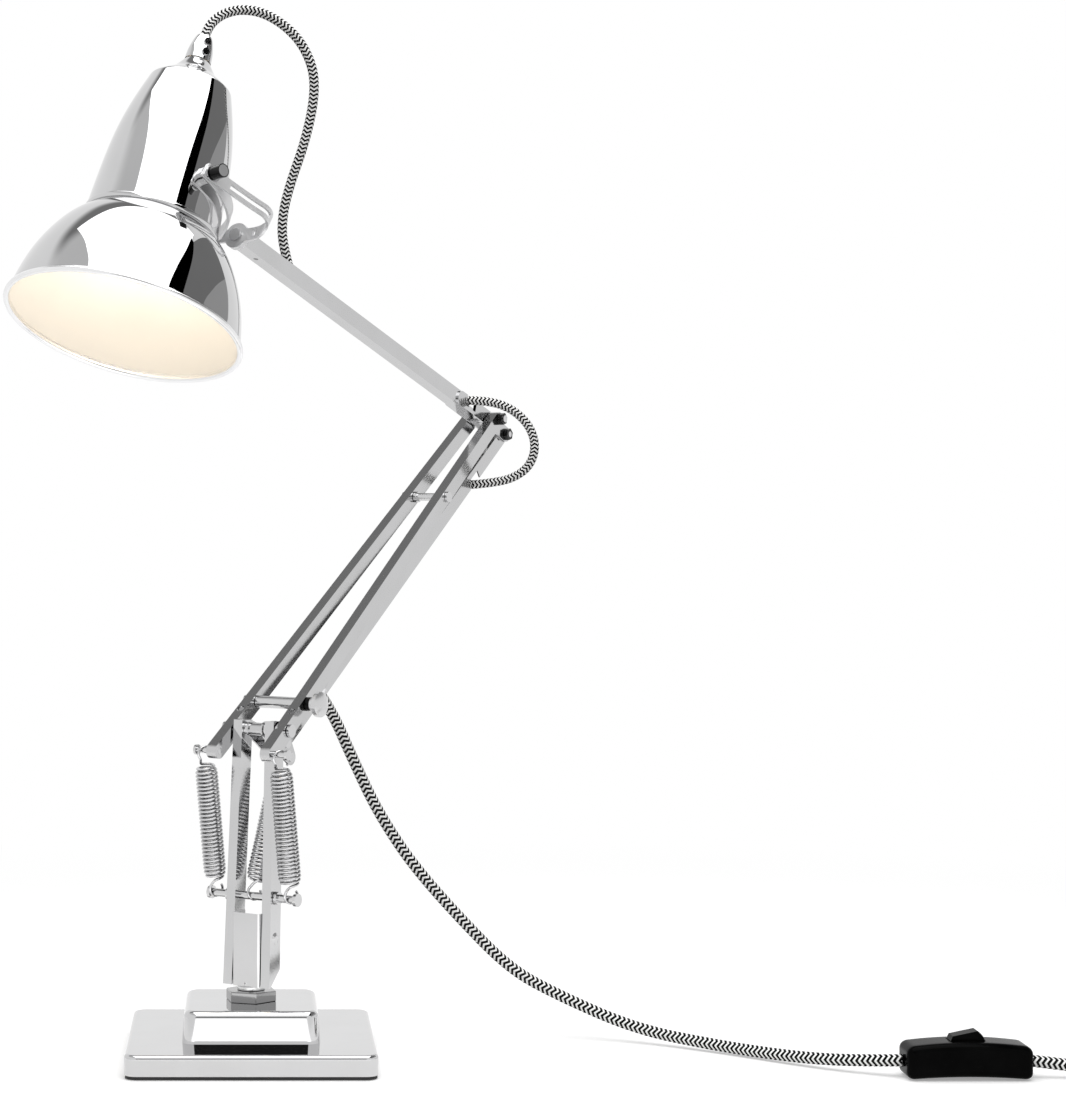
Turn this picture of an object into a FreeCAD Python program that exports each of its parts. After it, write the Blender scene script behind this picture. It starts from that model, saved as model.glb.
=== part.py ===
import FreeCAD, Part
import math
import os

V = FreeCAD.Vector

# Adjustable desk lamp with a square stepped base, a sprung two-part arm and a spun shade.
# Millimetres. Z is up and the origin is the middle of the base's underside.
# The arm swings in one upright plane. It is drawn with x forward to the shade, y along the pivots,
# and is then turned about the base's swivel by ARM_YAW.

# Base
BASE_SIDE = 150.0
BASE_CORNER = 8.0
PAD_THICK = 2.0
PAD_INSET = 0.6
PLATE_THICK = 12.4
PLATE_EDGE = 2.6
PLATE_WALL = 2.0
STEP_SIDE = 83.0
STEP_HEIGHT = 19.3
STEP_CORNER = 8.3
STEP_EDGE = 4.0
STEP_WALL = 2.0
WEIGHT_GAP = 0.3
WEIGHT_BORE = 40.0
NUT_FLATS = 28.0
NUT_HEIGHT = 6.5
NUT_CHAMFER = 1.5
BUSH_FLANGE = 24.0
BUSH_FLANGE_THICK = 2.0
BUSH_OUTSIDE = 16.0
SPINDLE = 12.0
SPINDLE_FIT = 0.06
LOCK_NUT_FLATS = 19.0
LOCK_NUT_HEIGHT = 6.0
COLLAR = 17.0
COLLAR_THICK = 2.0
RUN_GAP = 0.3

# Fork on the swivel
ARM_YAW = 235.0
FORK_WIDTH = 20.0
FORK_DEPTH = 12.0
FORK_PLATE_HEIGHT = 45.0
SHEET = 1.5
UPRIGHT_WIDTH = 6.5
UPRIGHT_DEPTH = 11.0
UPRIGHT_WALL = 1.2
UPRIGHT_TOP = 5.5
UPRIGHT_CUT = 12.0
FORK_LEAN = 8.0
UPRIGHT_PINCH = 2.3
PIVOT_HEIGHT = 199.0
FORK_SCREW = 4.0
FORK_SCREW_HEAD = 7.2
FORK_SCREW_RISE = 1.0
FORK_SCREW_UP = 30.0
ROD = 5.0
ROD_REACH = 33.0
ROD_UP = 97.0
ROD_COLLAR = 8.0
ROD_COLLAR_THICK = 2.2
SPRING_ASIDE = 28.0
PIVOT_PIN = 5.0
PIVOT_FIT = 0.05
PIVOT_HEAD = 8.0
PIVOT_HEAD_THICK = 1.6

# Lower arm
LOWER_ANGLE = 144.2
LOWER_LENGTH = 338.0
BAR_WIDTH = 7.0
BAR_DEPTH = 9.6
BAR_WALL = 1.1
TAIL = 22.0
TAIL_SPREAD = 20.0
ELBOW_SPREAD = 9.8
TAIL_PIN = 4.0
TAIL_PIN_REACH = 33.0
TAIL_PIN_HEAD = 6.4
TAIL_PIN_HEAD_THICK = 1.6
CLAMP_UP = 26.0
CLAMP_ROD = 5.0
SLEEVE = 7.6
CROSS_SHARE = 0.725
CROSS_ROD = 5.2
CROSS_COLLAR = 7.2
CROSS_COLLAR_THICK = 2.4
BAR_HOLE = 5.0
BAR_HOLE_UP = 13.0
KNOB = 15.6
KNOB_THICK = 4.6
KNOB_DOME = 2.0
KNOB_NECK = 8.6
KNOB_NECK_LENGTH = 7.0
CLIP_UP = 40.0
CLIP_LENGTH = 24.0
CLIP_THICK = 1.2
CLIP_SCREW_UP = 30.0
CLIP_SCREW = 3.0
CLIP_SCREW_HEAD = 5.6

# Bell crank and link bar, which hold the upper arm parallel to the crank
CRANK_BACK = 22.7
CRANK_DOWN = 10.1
CRANK_SPRING_BACK = 27.0
CRANK_SPRING_DOWN = 19.0
CRANK_PLATE = 1.2
CRANK_GAP = 0.4
CRANK_EYE = 5.0
LINK_WIDTH = 8.4
LINK_DEPTH = 9.6
LINK_WALL = 0.9
LINK_PIN = 4.0
LINK_SLOT_DOWN = 53.0
LINK_SLOT_LENGTH = 15.0

# Upper arm
UPPER_ANGLE = 19.3
UPPER_LENGTH = 312.0
UPPER_WIDTH = 9.0
UPPER_DEPTH = 10.4
UPPER_WALL = 1.1
UPPER_START = 15.0
CHEEK = 1.2
CHEEK_RUN = 40.0
CHEEK_EYE = 5.2
ELBOW_PIN = 5.0
NUT_END = 7.4
NUT_END_LENGTH = 4.5
ARM_SLOT_UP = 27.0
ARM_SLOT_LENGTH = 13.0
PLUG_LENGTH = 22.0
GRUB_BACK = 20.0
GRUB = 3.0
HEAD_ENTRY_BACK = 58.0

# Head bracket
BRACKET_STRIP = 10.0
BRACKET_THICK = 1.6
BRACKET_FOLD = 16.5
BRACKET_HOLE_ASIDE = 12.6
BRACKET_END = 7.0
BRACKET_CLEAR = 6.5
SLOT_LENGTH = 24.0
BOSS = 17.0
BOSS_THICK = 2.4
BRACKET_HOLE = 4.0
RIVET = 4.0
RIVET_HEAD = 8.0
RIVET_HEAD_THICK = 1.6
STUD = 5.0
STUD_TURN = 15.0
STUD_SINK = 1.2
SEAT_LENGTH = 3.2
WASHER = 10.5
WASHER_THICK = 1.5
STUD_KNOB = 8.4
STUD_KNOB_LENGTH = 8.0

# Shade, hung from the end of the upper arm and measured up its axis from the mouth.
# A profile point is (diameter, share of the height of its own piece).
SHADE_AHEAD = 76.2
SHADE_ASIDE = -31.5
SHADE_DROP = 58.3
SHADE_TILT = 24.3
MOUTH = 147.0
RIM_ROLL = 2.6
BELL_LINE = [(141.6, 0.187), (136.6, 0.263), (131.8, 0.415), (124.2, 0.567), (114.0, 0.721), (99.6, 0.872)]
NECK = 83.6
NECK_UP = 67.0
NECK_STEP = 2.0
BODY_LOW = 82.0
BODY_LINE = [(79.0, 0.26), (76.4, 0.426), (72.6, 0.582), (66.4, 0.743), (60.8, 0.846), (57.2, 0.914)]
SHOULDER = 52.4
SHOULDER_UP = 165.3
CROWN_LINE = [(41.2, 0.25), (30.4, 0.485), (22.6, 0.75)]
COLLAR_TOP = 16.4
CROWN_RISE = 18.7
SHADE_WALL = 1.2
STUD_UP = 95.0
CAP_SEAM = 0.5
CAP_LINE = [(16.8, 0.0), (16.4, 0.2), (15.6, 0.43), (13.8, 0.68), (11.6, 0.9), (10.2, 1.0)]
CAP_RISE = 17.4
CAP_SCREW = 3.0
CAP_SCREW_HEAD = 4.6
CAP_SCREW_SINK = 0.4
CAP_SCREW_RISE = 1.2
CAP_SCREW_SHARES = (0.27, 0.7)
CAP_SCREW_TURN = 62.0
NIPPLE = 10.0
NIPPLE_BORE = 6.4
NIPPLE_SHARE = 0.35
HOLDER = 40.0
HOLDER_LENGTH = 52.0
HOLDER_DROP = 11.3
HOLDER_DEPTH = 34.0
BULB = 60.0
BULB_NECK = 27.0
BULB_LENGTH = 100.0
BULB_FIT = 0.3
BULB_SHOULDER_UP = 16.0

# Springs
WIRE = 1.5
SPRING_MEAN = 12.6
OUTER_TURNS = 30
MIDDLE_TURNS = 30
TAPER_TURNS = 2.5
HOOK = 3.9

# Cords
FLEX = 6.0
MAINS = 7.2
COIL_RADIUS = 41.0
COIL_TURNS_IN = 2.5
COIL_TURNS_OUT = 2.0
COIL_STEP = 7.9
COIL_LAYER = 7.8
COIL_MIDDLE = (550.0, -25.0)
FLOOR_GAP = 0.2
TIE_WIDTH = 9.0
TIE_THICK = 1.2
TIE_GAP = 0.3

# In-line switch and plug
SWITCH_LENGTH = 74.0
SWITCH_WIDTH = 27.0
SWITCH_HEIGHT = 22.0
SWITCH_MIDDLE = (421.5, -64.0)
SWITCH_ROUND = 5.0
ROCKER_LENGTH = 21.0
ROCKER_WIDTH = 10.0
ROCKER_RISE = 4.4
ROCKER_REST = 12.0
ROCKER_PIVOT_DOWN = 3.0
ROCKER_GAP = 0.35
ROCKER_DOWN = 5.0
ROCKER_PIN = 3.0
ROCKER_PIN_REACH = 2.0
PLUG_BODY_LENGTH = 38.0
PLUG_BODY_WIDTH = 34.0
PLUG_BODY_HEIGHT = 23.0
PLUG_ROUND = 5.0
PLUG_PIN = 4.0
PLUG_PIN_LENGTH = 19.0
PLUG_PIN_SPREAD = 19.0
PLUG_TIP = (623.1, -5.0)
PLUG_AXIS_UP = 11.7
RELIEF_LENGTH = 24.0
RELIEF_TIP = 9.6
RELIEF_ROOT = 13.0

# Routes of the free cords, chosen by hand. The first is measured from the clip's seat on the right bar.
CLIP_ROUTE = [(7.7, 11.8, 6.3), (15.7, 21.8, -5.7), (28.7, 31.8, -35.7)]
DROP_ROUTE = [(82, 57, 139), (111, 60, 97), (146, 60, 61)]
FLOOR_ROUTE = [(146, 60, 61), (163.5, 60, 43), (193, 57, 27), (241, 41, 8), (286, 10, 3.9), (325, -26, 4.2),
               (356, -51, 6.6), (384.5, -64, 9.6)]
TAIL_ROUTE = [(458.5, -64, 9.6), (477, -65.5, 7.6), (499, -71, 5.8), (521.5, -75.9, 5.3), (542.8, -75.9, 5.3)]
LEAD_ROUTE = [(557.2, -71.9, 13.1), (574.7, -71.9, 13.1), (596.9, -62.7, 10.6), (613.9, -45.7, 8.8),
              (623.1, -23.6, 9.8), (623.1, -5, 11.7)]
# The next three are measured from the elbow, from the top of the shade's cap and from the upper arm's end
ELBOW_ROUTE = [(-15.8, -23.1, 12.3), (1.2, -25.1, 12.3), (18.2, -27.1, 6.3), (30.2, -28.1, -5.7),
               (34.2, -28.1, -20.2), (29.7, -26.1, -33.7), (18.2, -23.1, -41.7), (3.2, -20.1, -44.7),
               (-8.8, -18.1, -45.7)]
CAP_ROUTE = [(-0.3, -0.5, -1.2), (1.5, 2.0, 5.6), (6.4, 4.7, 12.5), (13.8, 7.7, 17.5), (24.4, 10.5, 19.9)]
HEAD_ROUTE = [(15.3, 36.8, 143.8), (29.1, 39.2, 135.8), (40.0, 41.1, 124.0), (46.8, 43.1, 107.2),
              (46.1, 44.1, 87.2), (40.1, 45.1, 62.2), (32.1, 46.1, 40.2), (26.6, 46.1, 19.2),
              (26.6, 46.3, -0.3), (32.4, 46.7, -19.3)]

os.makedirs("parts", exist_ok=True)

X_AXIS = V(1, 0, 0)
Y_AXIS = V(0, 1, 0)
Z_AXIS = V(0, 0, 1)
OVER = 1.0


def unit(vector):
    return V(vector) / vector.Length


def in_plane(angle):
    turn = math.radians(angle)
    return V(math.cos(turn), 0, math.sin(turn))


def turned(shape):
    out = shape.copy()
    out.rotate(V(0, 0, 0), Z_AXIS, ARM_YAW)
    return out


def save(name, solids):
    shape = solids if isinstance(solids, Part.Shape) else Part.makeCompound(solids)
    shape.exportStep("parts/" + name + ".step")


def save_arm(name, solids):
    group = solids if isinstance(solids, list) else [solids]
    save(name, [turned(solid) for solid in group] if len(group) > 1 else turned(group[0]))


def placed(shape, origin, x_dir, y_dir):
    x = unit(x_dir)
    z = unit(x.cross(y_dir))
    y = z.cross(x)
    matrix = FreeCAD.Matrix(x.x, y.x, z.x, origin.x, x.y, y.y, z.y, origin.y, x.z, y.z, z.z, origin.z)
    out = shape.copy()
    out.Placement = FreeCAD.Placement(matrix).multiply(out.Placement)
    return out


def slab(x0, x1, y0, y1, z0, z1):
    return Part.makeBox(x1 - x0, y1 - y0, z1 - z0, V(x0, y0, z0))


def rod(diameter, start, end):
    return Part.makeCylinder(diameter / 2, (end - start).Length, start, end - start)


def pin(diameter, spot, y0, y1):
    return rod(diameter, V(spot.x, y0, spot.z), V(spot.x, y1, spot.z))


def ring(outside, bore, spot, y0, y1):
    return pin(outside, spot, y0, y1).cut(pin(bore, spot, y0 - OVER, y1 + OVER))


def hexagon(flats, height, middle):
    corner = flats / math.sqrt(3)
    points = [middle + V(corner * math.cos(math.radians(60 * i + 15)),
                         corner * math.sin(math.radians(60 * i + 15)), 0) for i in range(6)]
    return Part.Face(Part.makePolygon(points + [points[0]])).extrude(V(0, 0, height))


def soft_block(side, corner, edge, z0, z1):
    half = side / 2
    block = slab(-half, half, -half, half, z0, z1)
    upright = [e for e in block.Edges if abs(e.Vertexes[0].Z - e.Vertexes[1].Z) > OVER]
    block = block.makeFillet(corner, upright)
    if edge:
        top = [e for e in block.Edges if min(v.Z for v in e.Vertexes) > z1 - 0.01]
        block = block.makeFillet(edge, top)
    return block


def channel(length, width, depth, wall, round_start, round_end):
    """Folded channel along x with its web at -z. A round end wraps the web about the end's own pin."""
    def trough(inset, low, high):
        half = depth / 2 - inset
        flank = width / 2 - inset
        body = slab(low, high, -flank, flank, -half, depth / 2 + inset * 2)
        for end, is_round in ((0, round_start), (length, round_end)):
            if is_round:
                body = body.fuse(rod(2 * half, V(end, -flank, 0), V(end, flank, 0)))
        return body
    outer = trough(0, 0, length)
    inner = trough(wall, 0 if round_start else -OVER, length if round_end else length + OVER)
    return outer.cut(inner).removeSplitter()


def hull_plate(eyes, y0, y1):
    """Flat plate round a few eyes (spot, radius), the corners joined by their tangents."""
    plate = None
    for first, second in zip(eyes, eyes[1:]):
        (a, ra), (b, rb) = first, second
        run = b - a
        side = unit(run.cross(Y_AXIS))
        tilt = (ra - rb) / run.Length
        lean = unit(run) * tilt + side * math.sqrt(1 - tilt * tilt)
        mirror = unit(run) * tilt - side * math.sqrt(1 - tilt * tilt)
        points = [a + lean * ra, b + lean * rb, b + mirror * rb, a + mirror * ra]
        points = [V(p.x, y0, p.z) for p in points]
        bar = Part.Face(Part.makePolygon(points + [points[0]])).extrude(V(0, y1 - y0, 0))
        bar = bar.fuse([pin(2 * ra, a, y0, y1), pin(2 * rb, b, y0, y1)])
        plate = bar if plate is None else plate.fuse(bar)
    return plate.removeSplitter()


def arc_edge(start, control, end):
    """Arc from start to end whose end tangents meet at control."""
    middle = (start + end) / 2
    height = (control - middle).Length
    if height < 1e-6:
        return Part.LineSegment(start, end).toShape()
    half = (end - start).Length / 2
    slant = math.hypot(half, height)
    radius = slant * half / height
    rise = radius - math.sqrt(max(radius * radius - half * half, 0))
    top = middle + unit(control - middle) * rise
    return Part.Arc(start, top, end).toShape()


def biarc(start, start_dir, end, end_dir):
    run = end - start
    both = start_dir + end_dir
    bend = 2 * (1 - start_dir.dot(end_dir))
    reach = run.dot(both)
    if bend < 1e-9:
        size = run.dot(run) / (2 * reach)
    else:
        size = (math.sqrt(reach * reach + bend * run.dot(run)) - reach) / bend
    first = start + start_dir * size
    second = end - end_dir * size
    joint = (first + second) / 2
    return [arc_edge(start, first, joint), arc_edge(joint, second, end)]


def sweep(edges, diameter):
    path = Part.Wire(edges)
    first = edges[0]
    start = first.valueAt(first.FirstParameter)
    heading = first.tangentAt(first.FirstParameter)
    profile = Part.Wire(Part.Circle(start, heading, diameter / 2).toShape())
    tube = path.makePipeShell([profile], True, False)
    return tube, path.Length


def cord(name, route, diameter):
    """Tube on straight runs and tangent arcs, each arc as large as its two runs allow."""
    points = [V(p) if isinstance(p, FreeCAD.Vector) else V(*p) for p in route]
    edges = []
    radii = []
    here = points[0]
    for before, corner, after in zip(points, points[1:], points[2:]):
        back = unit(before - corner)
        ahead = unit(after - corner)
        reach = 0.45 * min((before - corner).Length, (after - corner).Length)
        half_turn = (math.pi - back.getAngle(ahead)) / 2
        radii.append(reach / math.tan(half_turn))
        start = corner + back * reach
        end = corner + ahead * reach
        edges.append(Part.LineSegment(here, start).toShape())
        edges.append(arc_edge(start, corner, end))
        here = end
    edges.append(Part.LineSegment(here, points[-1]).toShape())
    tube, length = sweep(edges, diameter)
    section = math.pi * diameter ** 2 / 4
    print(name, "length", round(length, 1), "volume share", round(tube.Volume / (section * length), 4),
          "radii", [round(r) for r in radii])
    return tube


def least_gap(points, thickness, skip):
    """Least clear gap between stretches of one wound tube that are more than skip points apart."""
    least = 1e9
    for i, here in enumerate(points):
        for there in points[i + skip:]:
            least = min(least, (here - there).Length)
    return least - thickness


def spring(name, foot, head, turns):
    """Tension spring between two pins along y, with drawn-in ends and an open hook round each pin."""
    span = (head - foot).Length
    mean = SPRING_MEAN / 2
    lead = HOOK + 5.0
    body = span - 2 * lead
    steps = 4 * turns
    drawn = HOOK

    def at(quarter):
        turn = quarter / 4
        near = min(turn, turns - turn) / TAPER_TURNS
        size = drawn + (mean - drawn) * min(1.0, math.sin(min(near, 1.0) * math.pi / 2))
        angle = 2 * math.pi * turn
        return V(size * math.cos(angle), size * math.sin(angle), lead + body * turn / turns)

    def heading(quarter):
        low = max(quarter - 0.02, 0)
        high = min(quarter + 0.02, steps)
        return unit(at(high) - at(low))

    def hook(z, way):
        """Points of a hook about the pin at height z: from its straight tip to where it leaves the pin."""
        tip_angle = math.radians(240)
        spots = []
        for angle in (tip_angle, math.radians(180), math.radians(90), 0.0):
            spots.append((V(HOOK * math.cos(angle), 0, z + way * HOOK * math.sin(angle)),
                          V(math.sin(angle), 0, -way * math.cos(angle))))
        return spots

    edges = []
    low = hook(0, -1)
    tip, tip_dir = low[0]
    edges.append(Part.LineSegment(tip - tip_dir * WIRE, tip).toShape())
    for (p, p_dir), (q, q_dir) in zip(low, low[1:]):
        edges += biarc(p, p_dir, q, q_dir)
    inset = 1.0
    edges += biarc(low[-1][0], low[-1][1], at(inset), heading(inset))
    for quarter in range(int(inset), steps - int(inset)):
        edges += biarc(at(quarter), heading(quarter), at(quarter + 1), heading(quarter + 1))
    high = [(p, p_dir * -1) for p, p_dir in reversed(hook(span, 1))]
    edges += biarc(at(steps - inset), heading(steps - inset), high[0][0], high[0][1])
    for (p, p_dir), (q, q_dir) in zip(high, high[1:]):
        edges += biarc(p, p_dir, q, q_dir)
    tip, tip_dir = high[-1]
    edges.append(Part.LineSegment(tip, tip + tip_dir * WIRE).toShape())
    tube, length = sweep(edges, WIRE)
    marks = [at(i / 8) for i in range(8 * int(inset), 8 * (steps - int(inset)))]
    print(name, "turns", turns, "wire length", round(length), "least gap",
          round(least_gap(marks, WIRE, 20), 2), "volume share",
          round(tube.Volume / (math.pi * WIRE ** 2 / 4 * length), 4))
    return placed(tube, foot, unit((head - foot).cross(Y_AXIS) * -1), Y_AXIS)


# Base: pad, weight, lower plate, upper step, threaded bush and hexagon nut
plate_top = PAD_THICK + PLATE_THICK
step_top = plate_top + STEP_HEIGHT
nut_top = step_top + NUT_HEIGHT
bush_foot = plate_top - PLATE_WALL - BUSH_FLANGE_THICK
bush_bore = SPINDLE + 2 * SPINDLE_FIT
bush_hole = BUSH_OUTSIDE + 2 * SPINDLE_FIT


def well(diameter, z0, z1):
    return rod(diameter, V(0, 0, z0), V(0, 0, z1))


pad_side = BASE_SIDE - 2 * PAD_INSET
save("base_pad", soft_block(pad_side, BASE_CORNER - PAD_INSET, 0, 0, PAD_THICK))

cavity_side = BASE_SIDE - 2 * PLATE_WALL
cavity_corner = BASE_CORNER - PLATE_WALL
plate = soft_block(BASE_SIDE, BASE_CORNER, PLATE_EDGE, PAD_THICK, plate_top)
plate = plate.cut(soft_block(cavity_side, cavity_corner, 0, PAD_THICK - OVER, plate_top - PLATE_WALL))
save("base_plate", plate.cut(well(bush_hole, PAD_THICK, plate_top + OVER)))

weight_side = cavity_side - 2 * WEIGHT_GAP
weight_top = plate_top - PLATE_WALL - WEIGHT_GAP
weight = soft_block(weight_side, cavity_corner - WEIGHT_GAP, 0, PAD_THICK, weight_top)
save("base_weight", weight.cut(well(WEIGHT_BORE, 0, weight_top + OVER)))

step_cavity = soft_block(STEP_SIDE - 2 * STEP_WALL, STEP_CORNER - STEP_WALL, STEP_EDGE - STEP_WALL,
                         plate_top - OVER, step_top - STEP_WALL)
step = soft_block(STEP_SIDE, STEP_CORNER, STEP_EDGE, plate_top, step_top).cut(step_cavity)
save("base_step", step.cut(well(bush_hole, plate_top, step_top + OVER)))

bush = well(BUSH_FLANGE, bush_foot, bush_foot + BUSH_FLANGE_THICK)
bush = bush.fuse(well(BUSH_OUTSIDE, bush_foot, nut_top))
save("base_bush", bush.cut(well(bush_bore, 0, nut_top + OVER)).removeSplitter())

nut_corner = NUT_FLATS / math.sqrt(3)
nut_cone = Part.makeCone(nut_corner + NUT_HEIGHT - NUT_CHAMFER, nut_corner - NUT_CHAMFER,
                         NUT_HEIGHT, V(0, 0, step_top))
nut = hexagon(NUT_FLATS, NUT_HEIGHT, V(0, 0, step_top)).common(nut_cone)
save("base_hex_nut", nut.cut(well(bush_hole, step_top - OVER, nut_top + OVER)))

# Fork: spindle and lock nut, folded plate, two leaning uprights, spring rod and pivot pin
collar_foot = nut_top + RUN_GAP
fork_foot = collar_foot + COLLAR_THICK
spindle_foot = bush_foot - RUN_GAP - LOCK_NUT_HEIGHT
spindle = well(SPINDLE, spindle_foot, fork_foot + SHEET).fuse(well(COLLAR, collar_foot, fork_foot))
save_arm("fork_spindle", spindle.removeSplitter())
lock_nut = hexagon(LOCK_NUT_FLATS, LOCK_NUT_HEIGHT, V(0, 0, spindle_foot))
save_arm("spindle_lock_nut", lock_nut.cut(well(bush_bore, 0, bush_foot)))

half_fork = FORK_WIDTH / 2
plate_head = fork_foot + FORK_PLATE_HEIGHT
fork_plate = slab(-FORK_DEPTH / 2, FORK_DEPTH / 2, -half_fork, half_fork, fork_foot, plate_head)
fork_plate = fork_plate.cut(slab(-FORK_DEPTH, FORK_DEPTH / 2 - SHEET, SHEET - half_fork, half_fork - SHEET,
                                 fork_foot + SHEET, plate_head + OVER))
fork_plate = fork_plate.cut(well(bush_bore, fork_foot - OVER, fork_foot + SHEET + OVER))
fold_edges = [e for e in fork_plate.Edges
              if e.Length > FORK_PLATE_HEIGHT - OVER and e.BoundBox.XMin > FORK_DEPTH / 2 - 0.01]

pivot = V(-FORK_LEAN, 0, PIVOT_HEIGHT)
upright_base = half_fork + RUN_GAP + UPRIGHT_WIDTH / 2 + UPRIGHT_PINCH * FORK_PLATE_HEIGHT / PIVOT_HEIGHT
rod_spot = V(-FORK_LEAN * (ROD_UP - fork_foot) / (PIVOT_HEIGHT - fork_foot), 0, ROD_UP)


def upright_frame(side):
    foot = V(0, side * upright_base, fork_foot)
    top = V(pivot.x, side * (upright_base - UPRIGHT_PINCH), pivot.z)
    rise = unit(top - foot)
    rear = unit(rise.cross(Y_AXIS))
    return foot, rise, rear.cross(rise) * side, (top - foot).Length


def fork_screw(side, shank, head):
    foot, rise, outward, length = upright_frame(side)
    middle = foot + rise * FORK_SCREW_UP
    seat = middle + outward * (UPRIGHT_WIDTH / 2)
    inner = middle - outward * (UPRIGHT_WIDTH / 2 + 4 * SHEET)
    screw = rod(shank, inner, seat)
    if head:
        dome = Part.makeCone(head / 2, head / 4, FORK_SCREW_RISE, seat, outward)
        screw = screw.fuse(dome).removeSplitter()
    return screw


def upright(side):
    foot, rise, outward, length = upright_frame(side)
    bar = channel(length + UPRIGHT_TOP, UPRIGHT_WIDTH, UPRIGHT_DEPTH, UPRIGHT_WALL, False, False)
    corner = [V(-OVER, 0, -UPRIGHT_DEPTH / 2), V(UPRIGHT_CUT, 0, UPRIGHT_DEPTH / 2 + OVER),
              V(-OVER, 0, UPRIGHT_DEPTH / 2 + OVER)]
    wedge = Part.Face(Part.makePolygon(corner + [corner[0]])).extrude(V(0, 2 * UPRIGHT_WIDTH, 0))
    wedge.translate(V(0, -UPRIGHT_WIDTH, 0))
    bar = placed(bar.cut(wedge), foot, rise, Y_AXIS)
    reach = 2 * upright_base
    bar = bar.cut(pin(ROD + 2 * PIVOT_FIT, rod_spot, -reach, reach))
    bar = bar.cut(pin(PIVOT_PIN + 2 * PIVOT_FIT, pivot, -reach, reach))
    return bar.cut(fork_screw(side, FORK_SCREW + 2 * PIVOT_FIT, 0))


holes = [fork_screw(side, FORK_SCREW + 2 * PIVOT_FIT, 0) for side in (-1, 1)]
save_arm("fork_plate", fork_plate.makeFillet(SHEET, fold_edges).cut(holes))
save_arm("fork_uprights", [upright(-1), upright(1)])
save_arm("fork_screws", [fork_screw(side, FORK_SCREW, FORK_SCREW_HEAD) for side in (-1, 1)])

rod_share = (ROD_UP - fork_foot) / (PIVOT_HEIGHT - fork_foot)
rod_face = upright_base - UPRIGHT_PINCH * rod_share + UPRIGHT_WIDTH / 2 + RUN_GAP


def span(side, near, far):
    return min(side * near, side * far), max(side * near, side * far)


spring_rod = pin(ROD, rod_spot, -ROD_REACH, ROD_REACH)
for side in (-1, 1):
    for near in (rod_face, ROD_REACH - ROD_COLLAR_THICK):
        spring_rod = spring_rod.fuse(pin(ROD_COLLAR, rod_spot, *span(side, near, near + ROD_COLLAR_THICK)))
save_arm("fork_spring_rod", spring_rod.removeSplitter())

# Lower arm: two bars that draw together towards the elbow
along = in_plane(LOWER_ANGLE)
behind = along.cross(Y_AXIS)
elbow = pivot + along * LOWER_LENGTH
tail = pivot - along * TAIL
clamp_spot = pivot + along * CLAMP_UP
cross_up = CROSS_SHARE * LOWER_LENGTH
cross_spot = pivot + along * cross_up


def bar_middle(up):
    return TAIL_SPREAD - (TAIL_SPREAD - ELBOW_SPREAD) * (TAIL + up) / (TAIL + LOWER_LENGTH)


def bar_point(side, up, rear):
    spot = pivot + along * up + behind * rear
    return V(spot.x, side * bar_middle(up), spot.z)


def bar(side):
    start = bar_point(side, -TAIL, 0)
    end = bar_point(side, LOWER_LENGTH, 0)
    body = channel((end - start).Length, BAR_WIDTH, BAR_DEPTH, BAR_WALL, True, True)
    body = placed(body, start, end - start, Y_AXIS)
    reach = 2 * TAIL_SPREAD
    for spot, size in ((tail, TAIL_PIN), (pivot, PIVOT_PIN), (clamp_spot, CLAMP_ROD), (cross_spot, CROSS_ROD),
                       (elbow, ELBOW_PIN)):
        body = body.cut(pin(size + 2 * PIVOT_FIT, spot, -reach, reach))
    hole = bar_point(side, BAR_HOLE_UP, 0)
    return body.cut(rod(BAR_HOLE, hole - behind * BAR_DEPTH, hole))


save_arm("lower_bar_left", bar(-1))
clip_seat = bar_point(1, CLIP_SCREW_UP, BAR_DEPTH / 2)
clip_web = clip_seat - behind * BAR_DEPTH
save_arm("lower_bar_right", bar(1).cut(rod(CLIP_SCREW + 2 * PIVOT_FIT, clip_web - behind, clip_seat)))

bar_face = bar_middle(0) + BAR_WIDTH / 2
upright_face = upright_base - UPRIGHT_PINCH + UPRIGHT_WIDTH / 2
upright_inner = upright_face - UPRIGHT_WIDTH


def headed_pin(size, head, head_thick, spot, low, high):
    shank = pin(size, spot, low - head_thick, high + head_thick)
    heads = [pin(head, spot, low - head_thick, low), pin(head, spot, high, high + head_thick)]
    return shank.fuse(heads).removeSplitter()


def both_sides(outside, bore, spot, inner, outer):
    return [ring(outside, bore, spot, inner, outer), ring(outside, bore, spot, -outer, -inner)]


pivot_end = bar_face + 2 * RUN_GAP
save_arm("fork_pivot_pin", headed_pin(PIVOT_PIN, PIVOT_HEAD, PIVOT_HEAD_THICK, pivot, -pivot_end, pivot_end))
crank_outer = LINK_WIDTH / 2 + CRANK_GAP + CRANK_PLATE
washer_out = bar_face - BAR_WIDTH - 2 * RUN_GAP
washer_bore = PIVOT_PIN + 2 * PIVOT_FIT
save_arm("pivot_washers", both_sides(PIVOT_HEAD, washer_bore, pivot, upright_face + RUN_GAP / 2, washer_out)
         + both_sides(PIVOT_HEAD, washer_bore, pivot, crank_outer + RUN_GAP, upright_inner - RUN_GAP / 2))

tail_inner = bar_middle(-TAIL) - BAR_WIDTH / 2
tail_pin = pin(TAIL_PIN, tail, tail_inner, TAIL_PIN_REACH)
tail_pin = tail_pin.fuse(pin(TAIL_PIN_HEAD, tail, TAIL_PIN_REACH, TAIL_PIN_REACH + TAIL_PIN_HEAD_THICK))
tail_pin = tail_pin.removeSplitter()
save_arm("spring_tail_pins", [tail_pin, tail_pin.mirror(V(0, 0, 0), Y_AXIS)])

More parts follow.
